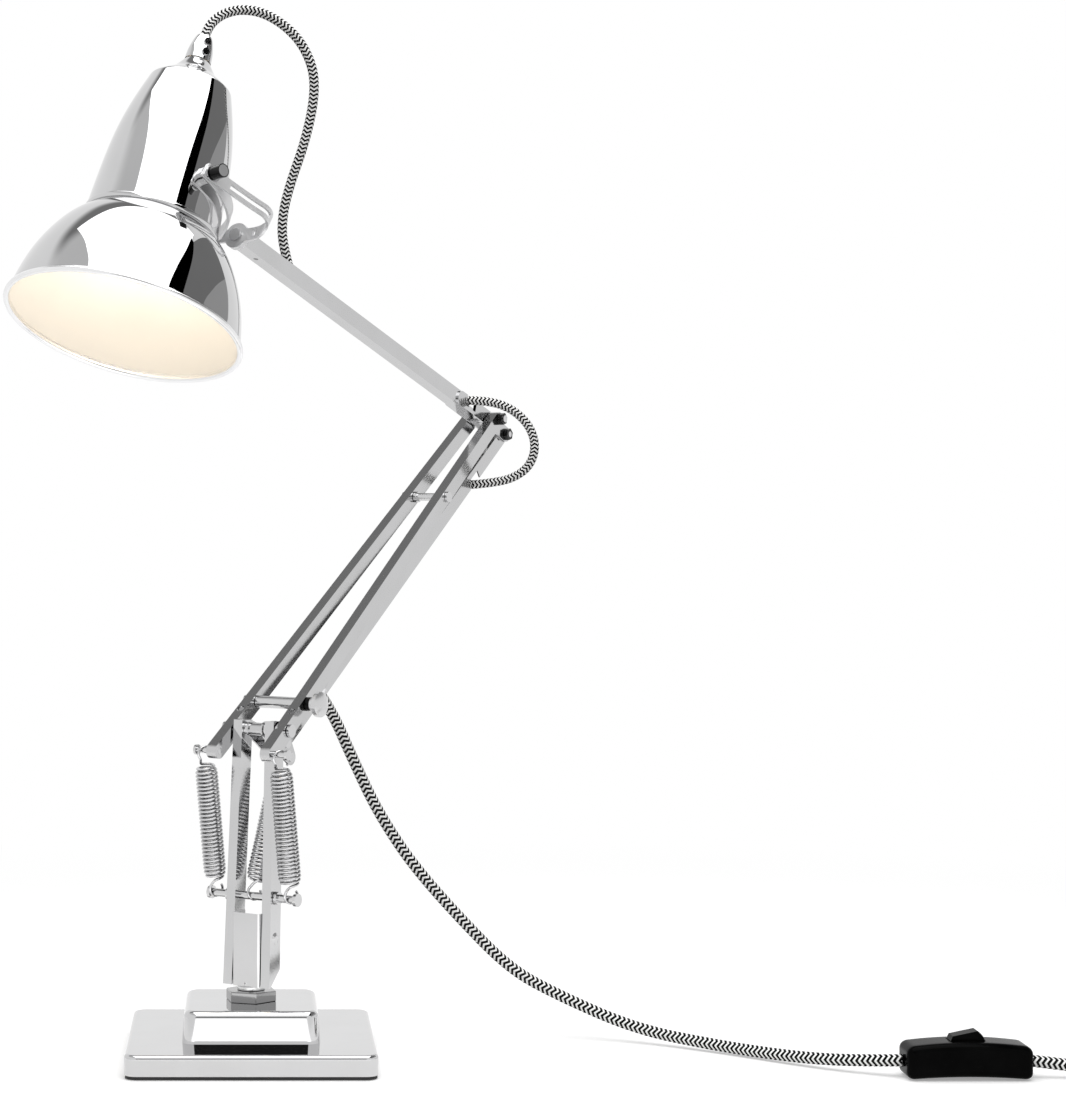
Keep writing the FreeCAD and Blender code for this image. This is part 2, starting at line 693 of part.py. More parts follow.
clamp_in = bar_middle(CLAMP_UP) - BAR_WIDTH / 2 - RUN_GAP
clamp_out = bar_middle(CLAMP_UP) + BAR_WIDTH / 2 + RUN_GAP
knob_face = clamp_out + RUN_GAP
neck_end = knob_face + KNOB_NECK_LENGTH
clamp_rod = pin(CLAMP_ROD, clamp_spot, -clamp_out, neck_end - OVER)
clamp_rod = clamp_rod.fuse(pin(PIVOT_HEAD, clamp_spot, -clamp_out - PIVOT_HEAD_THICK, -clamp_out))
save_arm("clamp_rod", clamp_rod.removeSplitter())
save_arm("clamp_sleeve", ring(SLEEVE, CLAMP_ROD + 2 * PIVOT_FIT, clamp_spot, -clamp_in, clamp_in))

knob = pin(KNOB_NECK, clamp_spot, knob_face, neck_end + OVER)
knob = knob.fuse(pin(KNOB, clamp_spot, neck_end, neck_end + KNOB_THICK - KNOB_DOME))
dome_radius = (KNOB ** 2 / 4 + KNOB_DOME ** 2) / (2 * KNOB_DOME)
dome_foot = neck_end + KNOB_THICK - KNOB_DOME
ball = Part.makeSphere(dome_radius, V(clamp_spot.x, dome_foot + KNOB_DOME - dome_radius, clamp_spot.z))
dome = ball.common(pin(KNOB, clamp_spot, dome_foot - OVER, dome_foot + KNOB_THICK))
knob = knob.fuse(dome).removeSplitter()
knob_bore = pin(CLAMP_ROD + 2 * PIVOT_FIT, clamp_spot, knob_face - OVER, neck_end - OVER + RUN_GAP)
save_arm("clamp_knob", knob.cut(knob_bore))

cross_out = bar_middle(cross_up) + BAR_WIDTH / 2 + RUN_GAP
cross_in = bar_middle(cross_up) - BAR_WIDTH / 2 - RUN_GAP
cross_rod = headed_pin(CROSS_ROD, CROSS_COLLAR, PIVOT_HEAD_THICK, cross_spot, -cross_out, cross_out)
cross_rod = cross_rod.fuse(pin(CROSS_COLLAR, cross_spot, -cross_in, CROSS_COLLAR_THICK - cross_in))
save_arm("cross_rod", cross_rod.removeSplitter())

arm_turn = FreeCAD.Rotation(Z_AXIS, ARM_YAW)
clip_world = arm_turn.multVec(clip_seat)
drop_route = [clip_world + V(*point) for point in CLIP_ROUTE] + [V(*point) for point in DROP_ROUTE]
exit_spot = arm_turn.inverted().multVec(drop_route[0])
exit_dir = unit(arm_turn.inverted().multVec(drop_route[1]) - exit_spot)
clip = slab(0, CLIP_LENGTH, -BAR_WIDTH / 2, BAR_WIDTH / 2, 0, CLIP_THICK)
clip = placed(clip, bar_point(1, CLIP_UP - CLIP_LENGTH / 2, BAR_DEPTH / 2 + PIVOT_FIT),
              bar_point(1, CLIP_UP, 0) - bar_point(1, 0, 0), Y_AXIS)
gland_foot = exit_spot - exit_dir * ((exit_spot - clip_seat).dot(behind) / exit_dir.dot(behind) - CLIP_THICK)
clip = clip.fuse(rod(MAINS + 2 * CLIP_THICK, gland_foot, exit_spot)).removeSplitter()
clip_hole = rod(CLIP_SCREW + 2 * PIVOT_FIT, clip_web, clip_seat + behind * CLIP_THICK * 3)
save_arm("cord_clip", clip.cut(clip_hole))
screw_seat = clip_seat + behind * (CLIP_THICK + 2 * PIVOT_FIT)
clip_screw = rod(CLIP_SCREW, clip_web, screw_seat)
clip_screw = clip_screw.fuse(rod(CLIP_SCREW_HEAD, screw_seat, screw_seat + behind * CLIP_THICK * 1.4))
save_arm("clip_screw", clip_screw.removeSplitter())

# Bell crank on the fork pivot, and the link bar up to the elbow
crank_offset = V(-CRANK_BACK, 0, -CRANK_DOWN)
crank_link = pivot + crank_offset
crank_spring = pivot + V(-CRANK_SPRING_BACK, 0, -CRANK_SPRING_DOWN)
elbow_link = elbow + crank_offset
crank_inner = LINK_WIDTH / 2 + CRANK_GAP

eyes = [(pivot, CRANK_EYE), (crank_link, CRANK_EYE), (crank_spring, CRANK_EYE), (pivot, CRANK_EYE)]
crank = hull_plate(eyes, crank_inner, crank_outer)
for spot, size in ((pivot, PIVOT_PIN), (crank_link, LINK_PIN), (crank_spring, LINK_PIN)):
    crank = crank.cut(pin(size + 2 * PIVOT_FIT, spot, crank_inner - OVER, crank_outer + OVER))
crank_sleeve = ring(PIVOT_HEAD, PIVOT_PIN + 2 * PIVOT_FIT, pivot, -crank_inner, crank_inner)
save_arm("bell_crank", crank.fuse([crank.mirror(V(0, 0, 0), Y_AXIS), crank_sleeve]).removeSplitter())
crank_head = LINK_PIN + 2.0
crank_head_thick = 1.0
save_arm("crank_pins", [headed_pin(LINK_PIN, crank_head, crank_head_thick, spot, -crank_outer, crank_outer)
                        for spot in (crank_link, crank_spring)])

link = channel(LOWER_LENGTH, LINK_WIDTH, LINK_DEPTH, LINK_WALL, True, True)
slot_middle = LOWER_LENGTH - LINK_SLOT_DOWN
link = link.cut(slab(slot_middle - LINK_SLOT_LENGTH / 2, slot_middle + LINK_SLOT_LENGTH / 2,
                     LINK_WIDTH / 2 - 2 * LINK_WALL, LINK_WIDTH, -OVER, LINK_DEPTH))
link = placed(link, crank_link, along, Y_AXIS)
link = link.cut(pin(LINK_PIN + 2 * RUN_GAP, crank_link, -LINK_WIDTH, LINK_WIDTH))
save_arm("link_bar", link.cut(pin(LINK_PIN + 2 * PIVOT_FIT, elbow_link, -LINK_WIDTH, LINK_WIDTH)))

# Upper arm: one channel between two elbow cheeks
reach_dir = in_plane(UPPER_ANGLE)
over_dir = reach_dir.cross(Y_AXIS)
head_spot = elbow + reach_dir * UPPER_LENGTH
arm_end = UPPER_LENGTH - RUN_GAP


def upper(x, y, z):
    spot = elbow + reach_dir * x + over_dir * z
    return V(spot.x, y, spot.z)


arm = channel(arm_end - UPPER_START, UPPER_WIDTH, UPPER_DEPTH, UPPER_WALL, False, False)
arm = placed(arm, upper(UPPER_START, 0, 0), reach_dir, Y_AXIS)
arm_slot = slab(ARM_SLOT_UP - ARM_SLOT_LENGTH / 2, ARM_SLOT_UP + ARM_SLOT_LENGTH / 2,
                UPPER_WIDTH / 2 - 2 * UPPER_WALL, UPPER_WIDTH, -UPPER_DEPTH / 4, UPPER_DEPTH)
arm_slot = placed(arm_slot, elbow, reach_dir, Y_AXIS)
grub_foot = upper(arm_end - GRUB_BACK, 0, -UPPER_DEPTH / 2)
grub_hole = rod(GRUB + 2 * PIVOT_FIT, grub_foot - over_dir, grub_foot + over_dir * UPPER_DEPTH * 0.4)
save_arm("upper_arm_channel", arm.cut(arm_slot).cut(grub_hole))

cheek_in = UPPER_WIDTH / 2
cheek_out = cheek_in + CHEEK
cheek = hull_plate([(elbow_link, CHEEK_EYE), (elbow, CHEEK_EYE), (upper(CHEEK_RUN, 0, 0), CHEEK_EYE)],
                   cheek_in, cheek_out)
cheek = cheek.cut(pin(ELBOW_PIN + 2 * PIVOT_FIT, elbow, 0, cheek_out + OVER))
cheek = cheek.cut(pin(LINK_PIN + 2 * PIVOT_FIT, elbow_link, 0, cheek_out + OVER))
save_arm("elbow_cheeks", [cheek.mirror(V(0, 0, 0), Y_AXIS), cheek.cut(arm_slot)])

elbow_face = bar_middle(LOWER_LENGTH) + BAR_WIDTH / 2 + RUN_GAP
elbow_pin = pin(ELBOW_PIN, elbow, -elbow_face, elbow_face + NUT_END_LENGTH)
elbow_pin = elbow_pin.fuse(pin(PIVOT_HEAD, elbow, -elbow_face - PIVOT_HEAD_THICK, -elbow_face))
save_arm("elbow_pin", elbow_pin.removeSplitter())


def side_nut(spot, bore, y0, thick):
    nut_body = hexagon(NUT_END, thick, V(0, 0, 0))
    nut_body = placed(nut_body, V(spot.x, y0, spot.z), X_AXIS, Z_AXIS * -1)
    return nut_body.cut(pin(bore, spot, y0 - OVER, y0 + thick + OVER))


save_arm("elbow_nut", side_nut(elbow, ELBOW_PIN, elbow_face, NUT_END_LENGTH * 0.8))
link_face = cheek_out + RUN_GAP
link_nut_thick = NUT_END_LENGTH * 0.6
link_pin = pin(LINK_PIN, elbow_link, -link_face, link_face + link_nut_thick + RUN_GAP)
link_pin = link_pin.fuse(pin(crank_head, elbow_link, -link_face - crank_head_thick, -link_face))
save_arm("elbow_link_pin", link_pin.removeSplitter())
save_arm("elbow_link_nut", side_nut(elbow_link, LINK_PIN, link_face, link_nut_thick))

plug_low = UPPER_WALL + PIVOT_FIT - UPPER_DEPTH / 2
plug_half = UPPER_WIDTH / 2 - UPPER_WALL - PIVOT_FIT
end_plug = slab(arm_end - PLUG_LENGTH, arm_end, -plug_half, plug_half, plug_low, UPPER_DEPTH / 2)
end_plug = placed(end_plug, elbow, reach_dir, Y_AXIS)
rivet_end = UPPER_LENGTH + BOSS_THICK + BRACKET_THICK + RUN_GAP
rivet_bore = rod(RIVET + 2 * PIVOT_FIT, upper(UPPER_LENGTH - PLUG_LENGTH * 2, 0, 0),
                 upper(rivet_end + OVER, 0, 0))
save_arm("arm_end_plug", end_plug.cut(rivet_bore).cut(grub_hole))
grub_screw = rod(GRUB, grub_foot, grub_foot + over_dir * UPPER_DEPTH * 0.3)
save_arm("arm_grub_screw", grub_screw)
rivet = rod(RIVET, upper(arm_end - PLUG_LENGTH * 0.7, 0, 0), upper(rivet_end + RIVET_HEAD_THICK, 0, 0))
rivet = rivet.fuse(rod(RIVET_HEAD, upper(rivet_end, 0, 0), upper(rivet_end + RIVET_HEAD_THICK, 0, 0)))
save_arm("head_rivet", rivet.removeSplitter())

# Head bracket: a strip folded from the swivel boss to the stud, its two ends lying one on the other
tilt = math.radians(SHADE_TILT)
shade_up = V(-math.sin(tilt), 0, math.cos(tilt))
mouth_middle = head_spot + V(SHADE_AHEAD, SHADE_ASIDE, -SHADE_DROP)
stud_root = mouth_middle + shade_up * STUD_UP
stud_dir = FreeCAD.Rotation(shade_up, -STUD_TURN).multVec(Y_AXIS)

washers_from = BODY_LINE[0][0] / 2 + SEAT_LENGTH
leg_low = washers_from + WASHER_THICK
leg_high = leg_low + BRACKET_THICK + RUN_GAP
legs_end = leg_high + BRACKET_THICK


def stud_point(out):
    return stud_root + stud_dir * out


def quad(middle, wide, thick):
    w = unit(wide) * (BRACKET_STRIP / 2)
    t = thick
    return [middle + w + t, middle - w + t, middle - w - t, middle + w - t]


def folded_strip(stations):
    """Solid strip whose cross-section runs straight from each four-cornered station to the next."""
    faces = [Part.Face(Part.makePolygon(end + [end[0]])) for end in (stations[0], stations[-1])]
    for here, there in zip(stations, stations[1:]):
        for i in range(4):
            first = Part.LineSegment(here[i], here[(i + 1) % 4]).toShape()
            second = Part.LineSegment(there[i], there[(i + 1) % 4]).toShape()
            faces.append(Part.makeRuledSurface(first, second))
    shell = Part.makeShell(faces)
    shell.sewShape()
    body = Part.makeSolid(shell)
    if body.Volume < 0:
        body.reverse()
    return body


strip_x = UPPER_LENGTH + BOSS_THICK + BRACKET_THICK / 2
fold_left = upper(strip_x, -BRACKET_FOLD, 0)
fold_right = upper(strip_x, BRACKET_FOLD, 0)


def leg(fold, out):
    """Direction and width of a leg that lies flat against the stud's washers."""
    target = stud_point(out + BRACKET_THICK / 2)
    run = target - fold
    flat = unit(run - stud_dir * run.dot(stud_dir))
    return target, flat, stud_dir.cross(flat)


left_eye, left_dir, left_wide = leg(fold_left, leg_low)
right_eye, right_dir, right_wide = leg(fold_right, leg_high)
if left_wide.dot(over_dir) < 0:
    left_wide = left_wide * -1
if right_wide.dot(over_dir) < 0:
    right_wide = right_wide * -1
half_strip = BRACKET_THICK / 2
leg_bend = BRACKET_END * 1.4


def mitre(fold, eye, inward):
    """Half the strip's thickness, carried along the fold between the base and a leg."""
    run = eye - fold
    corner = math.atan2(run.dot(reach_dir), run.dot(inward))
    return (reach_dir + inward / math.tan(corner / 2)) * half_strip


left_knee = left_eye - left_dir * leg_bend
half_way = (left_knee + fold_left) / 2
axis_spot = stud_root + shade_up * (half_way - stud_root).dot(shade_up)
round_shade = unit(half_way - axis_spot)
left_waist = axis_spot + round_shade * (BODY_LOW / 2 + BRACKET_CLEAR)
stations = [
    quad(left_eye + left_dir * BRACKET_END, left_wide, stud_dir * half_strip),
    quad(left_knee, left_wide, stud_dir * half_strip),
    quad(left_waist, left_wide + over_dir, round_shade * half_strip),
    quad(fold_left, over_dir, mitre(fold_left, left_waist, Y_AXIS)),
    quad(fold_right, over_dir, mitre(fold_right, right_eye, Y_AXIS * -1)),
    quad(right_eye - right_dir * leg_bend, right_wide, stud_dir * -half_strip),
    quad(right_eye + right_dir * BRACKET_END, right_wide, stud_dir * -half_strip)]
bracket = folded_strip(stations)
boss_foot = upper(UPPER_LENGTH, 0, 0)
boss_top = upper(UPPER_LENGTH + BOSS_THICK + BRACKET_THICK / 4, 0, 0)
bracket = bracket.fuse(rod(BOSS, boss_foot, boss_top)).cut(rivet_bore)
for side in (-1, 1):
    aside = side * BRACKET_HOLE_ASIDE
    bracket = bracket.cut(rod(BRACKET_HOLE, upper(strip_x - 2 * BRACKET_THICK, aside, 0),
                              upper(strip_x + 2 * BRACKET_THICK, aside, 0)))
stud_hole = STUD + 2 * PIVOT_FIT
bracket = bracket.cut(rod(stud_hole, stud_point(leg_low - OVER / 4), stud_point(legs_end + OVER)))
slot_start = right_eye - stud_dir * BRACKET_THICK
slot_end = slot_start - right_dir * SLOT_LENGTH
slot_wide = right_wide * (stud_hole / 2)
slot_face = Part.Face(Part.makePolygon([slot_start + slot_wide, slot_end + slot_wide, slot_end - slot_wide,
                                        slot_start - slot_wide, slot_start + slot_wide]))
slot_depth = stud_dir * (BRACKET_THICK * 2)
bracket = bracket.cut(slot_face.extrude(slot_depth))
save_arm("head_bracket", bracket.cut(rod(stud_hole, slot_end, slot_end + slot_depth)))

# Shade: spun bell, tapered body and clamped cap about one axis


def shade_place(shape):
    return placed(shape, mouth_middle, shade_up.cross(Y_AXIS) * -1, Y_AXIS)


def spun(outer, wall):
    """Solid of revolution from an outer profile of (radius, height), thinned to a wall along its normals."""
    inner = []
    for i, (r, h) in enumerate(outer):
        r0, h0 = outer[max(i - 1, 0)]
        r1, h1 = outer[min(i + 1, len(outer) - 1)]
        run = math.hypot(r1 - r0, h1 - h0)
        inner.append((r - wall * (h1 - h0) / run, h + wall * (r1 - r0) / run))
    curves = []
    for line in (outer, inner):
        curve = Part.BSplineCurve()
        curve.interpolate([V(r, 0, h) for r, h in line])
        curves.append(curve.toShape())
    caps = [Part.LineSegment(V(inner[k][0], 0, inner[k][1]), V(outer[k][0], 0, outer[k][1])).toShape()
            for k in (0, -1)]
    face = Part.Face(Part.Wire(Part.__sortEdges__(curves + caps)))
    return face.revolve(V(0, 0, 0), Z_AXIS, 360)


def smooth(points, steps):
    curve = Part.BSplineCurve()
    curve.interpolate([V(r, 0, h) for r, h in points])
    out = [curve.value(curve.FirstParameter + (curve.LastParameter - curve.FirstParameter) * i / steps)
           for i in range(steps + 1)]
    return [(p.x, p.z) for p in out]


rim = RIM_ROLL / 2
bell_line = [(MOUTH / 2 - rim / 2, rim)] + [(d / 2, share * NECK_UP) for d, share in BELL_LINE]
bell_line.append((BODY_LOW / 2, NECK_UP))
bell_line = smooth(bell_line, 16)
bell = spun(bell_line, SHADE_WALL)
bell = bell.fuse(Part.makeTorus(MOUTH / 2 - rim, rim, V(0, 0, rim))).removeSplitter()
save_arm("shade_bell", shade_place(bell))

body_foot = NECK_UP + NECK_STEP
body_line = [(BODY_LOW / 2, body_foot)]
body_line += [(d / 2, body_foot + share * (SHOULDER_UP - body_foot)) for d, share in BODY_LINE]
body_line = smooth(body_line + [(SHOULDER / 2, SHOULDER_UP)], 20)
crown_top = SHOULDER_UP + CROWN_RISE
crown_line = [(SHOULDER / 2, SHOULDER_UP)]
crown_line += [(d / 2, SHOULDER_UP + share * CROWN_RISE) for d, share in CROWN_LINE]
crown_line = smooth(crown_line + [(COLLAR_TOP / 2, crown_top)], 12)
seat_line = [(0, body_foot)] + [(r + PIVOT_FIT, h) for r, h in body_line] + [(0, SHOULDER_UP)]
seat_face = Part.Face(Part.makePolygon([V(r, 0, h) for r, h in seat_line + [seat_line[0]]]))
inside = shade_place(seat_face.revolve(V(0, 0, 0), Z_AXIS, 360))
body = spun(body_line, SHADE_WALL)
crown = spun(crown_line, SHADE_WALL)
neck_ring = Part.makeCylinder(NECK / 2, NECK_STEP + SHADE_WALL, V(0, 0, NECK_UP))
neck_ring = neck_ring.cut(Part.makeCylinder(BODY_LOW / 2 - SHADE_WALL, NECK_UP, V(0, 0, NECK_UP - OVER)))
body = body.fuse([crown, neck_ring]).removeSplitter()
stud_way = rod(stud_hole, stud_point(HOLDER / 2), stud_point(legs_end))
save_arm("shade_body", shade_place(body).cut(stud_way))

stud_wall = BODY_LINE[0][0] / 2 - SHADE_WALL
seat = rod(WASHER, stud_point(stud_wall), stud_point(washers_from - PIVOT_FIT)).cut(inside)
seat = seat.cut(stud_way)
nut_thick = 3.0
stud_seat = stud_wall - STUD_SINK
stud_in = stud_seat - nut_thick
knob_from = legs_end + WASHER_THICK + 2 * RUN_GAP
stud_end = knob_from + STUD_KNOB_LENGTH
stud = rod(STUD, stud_point(stud_in), stud_point(stud_end - OVER))
stud = stud.fuse(rod(WASHER, stud_point(stud_in), stud_point(stud_seat))).removeSplitter()
save_arm("tilt_stud", stud)
inner_washer = rod(WASHER, stud_point(washers_from), stud_point(leg_low - RUN_GAP)).cut(stud_way)
outer_washer = rod(WASHER, stud_point(legs_end + RUN_GAP), stud_point(legs_end + WASHER_THICK))
outer_washer = outer_washer.cut(rod(STUD, stud_point(legs_end), stud_point(stud_end)))
save_arm("stud_washers", [seat, inner_washer, outer_washer])
stud_knob = rod(STUD_KNOB, stud_point(knob_from), stud_point(stud_end))
save_arm("stud_knob", stud_knob.cut(rod(STUD, stud_point(legs_end), stud_point(stud_end - OVER))))

cap_foot = crown_top + CAP_SEAM
cap_top = cap_foot + CAP_RISE
cap_line = smooth([(d / 2, cap_foot + share * CAP_RISE) for d, share in CAP_LINE], 12)
cap_edge = cap_line + [(NIPPLE_BORE / 2, cap_top), (NIPPLE_BORE / 2, cap_foot)]
cap_face = Part.Face(Part.makePolygon([V(r, 0, h) for r, h in cap_edge + [cap_edge[0]]]))
cap = cap_face.revolve(V(0, 0, 0), Z_AXIS, 360)
nipple_top = cap_foot + NIPPLE_SHARE * CAP_RISE
holder_top = SHOULDER_UP - HOLDER_DROP
nipple_foot = holder_top - NIPPLE / 2
cap = cap.cut(well(NIPPLE + 2 * PIVOT_FIT, cap_foot - OVER, nipple_top + PIVOT_FIT))
side_turn = math.radians(CAP_SCREW_TURN)
screw_dir = V(math.cos(side_turn), math.sin(side_turn), 0)
screws = []
for share in CAP_SCREW_SHARES:
    centre = V(0, 0, cap_foot + share * CAP_RISE)
    seat_out = min(cap_line, key=lambda point: abs(point[1] - centre.z))[0] - CAP_SCREW_SINK
    head_seat = centre + screw_dir * seat_out
    head_top = head_seat + screw_dir * (CAP_SCREW_SINK + CAP_SCREW_RISE)
    screw = rod(CAP_SCREW, centre + screw_dir * (NIPPLE / 2 + RUN_GAP), head_top)
    cap = cap.cut(rod(CAP_SCREW + 2 * PIVOT_FIT, centre, head_seat + screw_dir))
    cap = cap.cut(rod(CAP_SCREW_HEAD + 2 * PIVOT_FIT, head_seat, head_top + screw_dir))
    screw = screw.fuse(rod(CAP_SCREW_HEAD, head_seat + screw_dir * PIVOT_FIT, head_top))
    screws.append(screw.removeSplitter())
save_arm("shade_cap", shade_place(cap))
save_arm("cap_screws", [shade_place(screw) for screw in screws])

nipple = well(NIPPLE, nipple_foot, nipple_top).cut(well(NIPPLE_BORE, 0, cap_top))
holder_foot = holder_top - HOLDER_LENGTH
holder = well(HOLDER, holder_foot, holder_top)
holder = holder.cut(well(BULB_NECK + 2 * BULB_FIT, holder_foot - OVER, holder_foot + HOLDER_DEPTH))
holder = holder.cut(well(NIPPLE, nipple_foot, cap_top))
save_arm("lamp_holder", shade_place(holder.fuse(nipple).removeSplitter()))
bulb_top = holder_foot + HOLDER_DEPTH
bulb_ball = bulb_top - BULB_LENGTH + BULB / 2
bulb = rod(BULB_NECK, V(0, 0, bulb_ball), V(0, 0, bulb_top))
bulb_waist = bulb_ball + BULB_SHOULDER_UP
waist_radius = math.sqrt(BULB ** 2 / 4 - BULB_SHOULDER_UP ** 2)
bulb_cone = Part.makeCone(waist_radius, BULB_NECK / 2, holder_foot - BULB_FIT - bulb_waist,
                          V(0, 0, bulb_waist))
bulb = bulb.fuse([Part.makeSphere(BULB / 2, V(0, 0, bulb_ball)), bulb_cone]).removeSplitter()
save_arm("lamp_bulb", shade_place(bulb))

# Springs: two outside the fork up to the arm's tail, one in the middle up to the crank
outer_spring = spring("outer spring", rod_spot, tail, OUTER_TURNS)
sides = []
for side in (-1, 1):
    copy = outer_spring.copy()
    copy.translate(V(0, side * SPRING_ASIDE, 0))
    sides.append(copy)
save_arm("outer_springs", sides)
save_arm("middle_spring", spring("middle spring", rod_spot, crank_spring, MIDDLE_TURNS))

# Cords: free stretches, the stretches held inside the link and the upper arm, and the tied rest
save("mains_drop", cord("drop", drop_route, MAINS))
save("mains_floor", cord("floor", FLOOR_ROUTE, MAINS))
save("mains_tail", cord("tail", TAIL_ROUTE, MAINS))
save("plug_lead", cord("lead", LEAD_ROUTE, MAINS))
elbow_world = arm_turn.multVec(elbow)
head_world = arm_turn.multVec(head_spot)
save("elbow_flex", cord("elbow", [elbow_world + V(*point) for point in ELBOW_ROUTE], FLEX))
cap_world = arm_turn.multVec(mouth_middle + shade_up * cap_top)
head_route = [cap_world + V(*point) for point in CAP_ROUTE] + [head_world + V(*point) for point in HEAD_ROUTE]
save("head_flex", cord("head", head_route, FLEX))
flex_low = UPPER_WALL + FLEX / 2 + RUN_GAP - UPPER_DEPTH / 2
flex_end = UPPER_LENGTH - HEAD_ENTRY_BACK + FLEX
save_arm("upper_flex", rod(FLEX, upper(ARM_SLOT_UP, 0, flex_low), upper(flex_end, 0, flex_low)))
link_low = LINK_WALL + FLEX / 2 + RUN_GAP - LINK_DEPTH / 2
link_flex_top = crank_link + along * (LOWER_LENGTH - LINK_SLOT_DOWN) + behind * link_low
link_flex_foot = crank_link + along * LINK_SLOT_DOWN + behind * link_low
save_arm("link_flex", rod(FLEX, link_flex_foot, link_flex_top))

coil_outer = COIL_RADIUS + COIL_STEP * COIL_TURNS_IN / 2
coil_inner = coil_outer - COIL_STEP * COIL_TURNS_IN
coil_low = FLOOR_GAP + TIE_THICK + TIE_GAP + MAINS / 2
coil_turns = COIL_TURNS_IN + 0.5 + COIL_TURNS_OUT


def coil_at(turn):
    share = min(max((turn - COIL_TURNS_IN) / 0.5, 0), 1)
    height = coil_low + COIL_LAYER * (3 * share ** 2 - 2 * share ** 3)
    if turn < COIL_TURNS_IN:
        radius = coil_outer - COIL_STEP * turn
    elif share < 1:
        radius = coil_inner - 0.5 * COIL_STEP * (share - share ** 2)
    else:
        radius = coil_inner + COIL_STEP * (turn - COIL_TURNS_IN - 0.5)
    angle = 2 * math.pi * turn - math.pi / 2
    return V(COIL_MIDDLE[0] + radius * math.cos(angle), COIL_MIDDLE[1] + radius * math.sin(angle), height)


def coil_heading(turn):
    if turn <= 0 or turn >= coil_turns:
        angle = 2 * math.pi * turn
        return V(math.cos(angle), math.sin(angle), 0)
    return unit(coil_at(turn + 0.01) - coil_at(turn - 0.01))


coil_marks = [i / 8 for i in range(int(coil_turns * 8) + 1)]
coil_edges = [Part.LineSegment(coil_at(0) - coil_heading(0) * MAINS, coil_at(0)).toShape()]
for low, high in zip(coil_marks, coil_marks[1:]):
    coil_edges += biarc(coil_at(low), coil_heading(low), coil_at(high), coil_heading(high))
coil_end = coil_at(coil_turns)
coil_edges.append(Part.LineSegment(coil_end, coil_end + coil_heading(coil_turns) * MAINS).toShape())
coil, coil_length = sweep(coil_edges, MAINS)
coil_points = [coil_at(i / 32) for i in range(int(coil_turns * 32) + 1)]
print("coil length", round(coil_length), "least gap", round(least_gap(coil_points, MAINS, 20), 2),
      "volume share", round(coil.Volume / (math.pi * MAINS ** 2 / 4 * coil_length), 4))
save("mains_coil", coil)
tie_in = coil_inner - COIL_STEP / 4 - MAINS / 2 - TIE_GAP
tie_out = coil_outer + MAINS / 2 + TIE_GAP
tie_top = coil_low + COIL_LAYER + MAINS / 2 + TIE_GAP
tie = slab(tie_in - TIE_THICK, tie_out + TIE_THICK, -TIE_WIDTH / 2, TIE_WIDTH / 2, FLOOR_GAP,
           tie_top + TIE_THICK)
tie = tie.cut(slab(tie_in, tie_out, -TIE_WIDTH, TIE_WIDTH, FLOOR_GAP + TIE_THICK, tie_top))
tie.translate(V(COIL_MIDDLE[0], COIL_MIDDLE[1], 0))
save("coil_tie", tie)

# In-line switch with its rocker, and the plug
half_length = SWITCH_LENGTH / 2
half_width = SWITCH_WIDTH / 2
switch = slab(-half_length, half_length, -half_width, half_width, 0, SWITCH_HEIGHT)
switch = switch.makeFillet(SWITCH_ROUND, switch.Edges)
rocker_axis = SWITCH_HEIGHT - ROCKER_PIVOT_DOWN
rocker_radius = ROCKER_LENGTH / 2
rocker_half = ROCKER_WIDTH / 2
window = rocker_radius + ROCKER_GAP
rocker_spot = V(0, 0, rocker_axis)
switch = switch.cut(slab(-window, window, -rocker_half - ROCKER_GAP, rocker_half + ROCKER_GAP,
                         rocker_axis - ROCKER_DOWN * 1.6, SWITCH_HEIGHT + OVER))
pin_reach = rocker_half + ROCKER_PIN_REACH
rocker_bore = ROCKER_PIN + 2 * PIVOT_FIT
switch = switch.cut(pin(rocker_bore, rocker_spot, -pin_reach - ROCKER_GAP, pin_reach + ROCKER_GAP))
switch.translate(V(SWITCH_MIDDLE[0], SWITCH_MIDDLE[1], 0))
save("switch_body", switch)
rocker = pin(ROCKER_LENGTH, V(0, 0, 0), -rocker_half, rocker_half)
rocker = rocker.common(slab(-ROCKER_LENGTH, ROCKER_LENGTH, -ROCKER_WIDTH, ROCKER_WIDTH, -ROCKER_DOWN,
                            ROCKER_PIVOT_DOWN + ROCKER_RISE))
rocker.rotate(V(0, 0, 0), Y_AXIS, -ROCKER_REST)
rocker = rocker.fuse(pin(ROCKER_PIN, V(0, 0, 0), -pin_reach, pin_reach)).removeSplitter()
rocker.translate(V(SWITCH_MIDDLE[0], SWITCH_MIDDLE[1], rocker_axis))
save("switch_rocker", rocker)

plug_half = PLUG_BODY_WIDTH / 2
plug_rise = PLUG_BODY_HEIGHT / 2
plug_end = RELIEF_LENGTH + PLUG_BODY_LENGTH
plug = slab(-plug_half, plug_half, RELIEF_LENGTH, plug_end, -plug_rise, plug_rise)
plug = plug.makeFillet(PLUG_ROUND, plug.Edges)
relief = Part.makeCone(RELIEF_TIP / 2, RELIEF_ROOT / 2, RELIEF_LENGTH + OVER, V(0, 0, 0), Y_AXIS)
plug_pins = []
for side in (-1, 1):
    aside = V(side * PLUG_PIN_SPREAD / 2, 0, 0)
    plug_pins.append(pin(PLUG_PIN, aside, plug_end - PLUG_ROUND, plug_end + PLUG_PIN_LENGTH))
plug_body = plug.fuse(relief).removeSplitter().cut(plug_pins)
plug_tip = V(PLUG_TIP[0], PLUG_TIP[1], PLUG_AXIS_UP)
save("mains_plug", [placed(solid, plug_tip, X_AXIS, Y_AXIS) for solid in [plug_body] + plug_pins])
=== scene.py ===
import math

import bmesh
import bpy
import numpy as np
from mathutils import Matrix, Vector


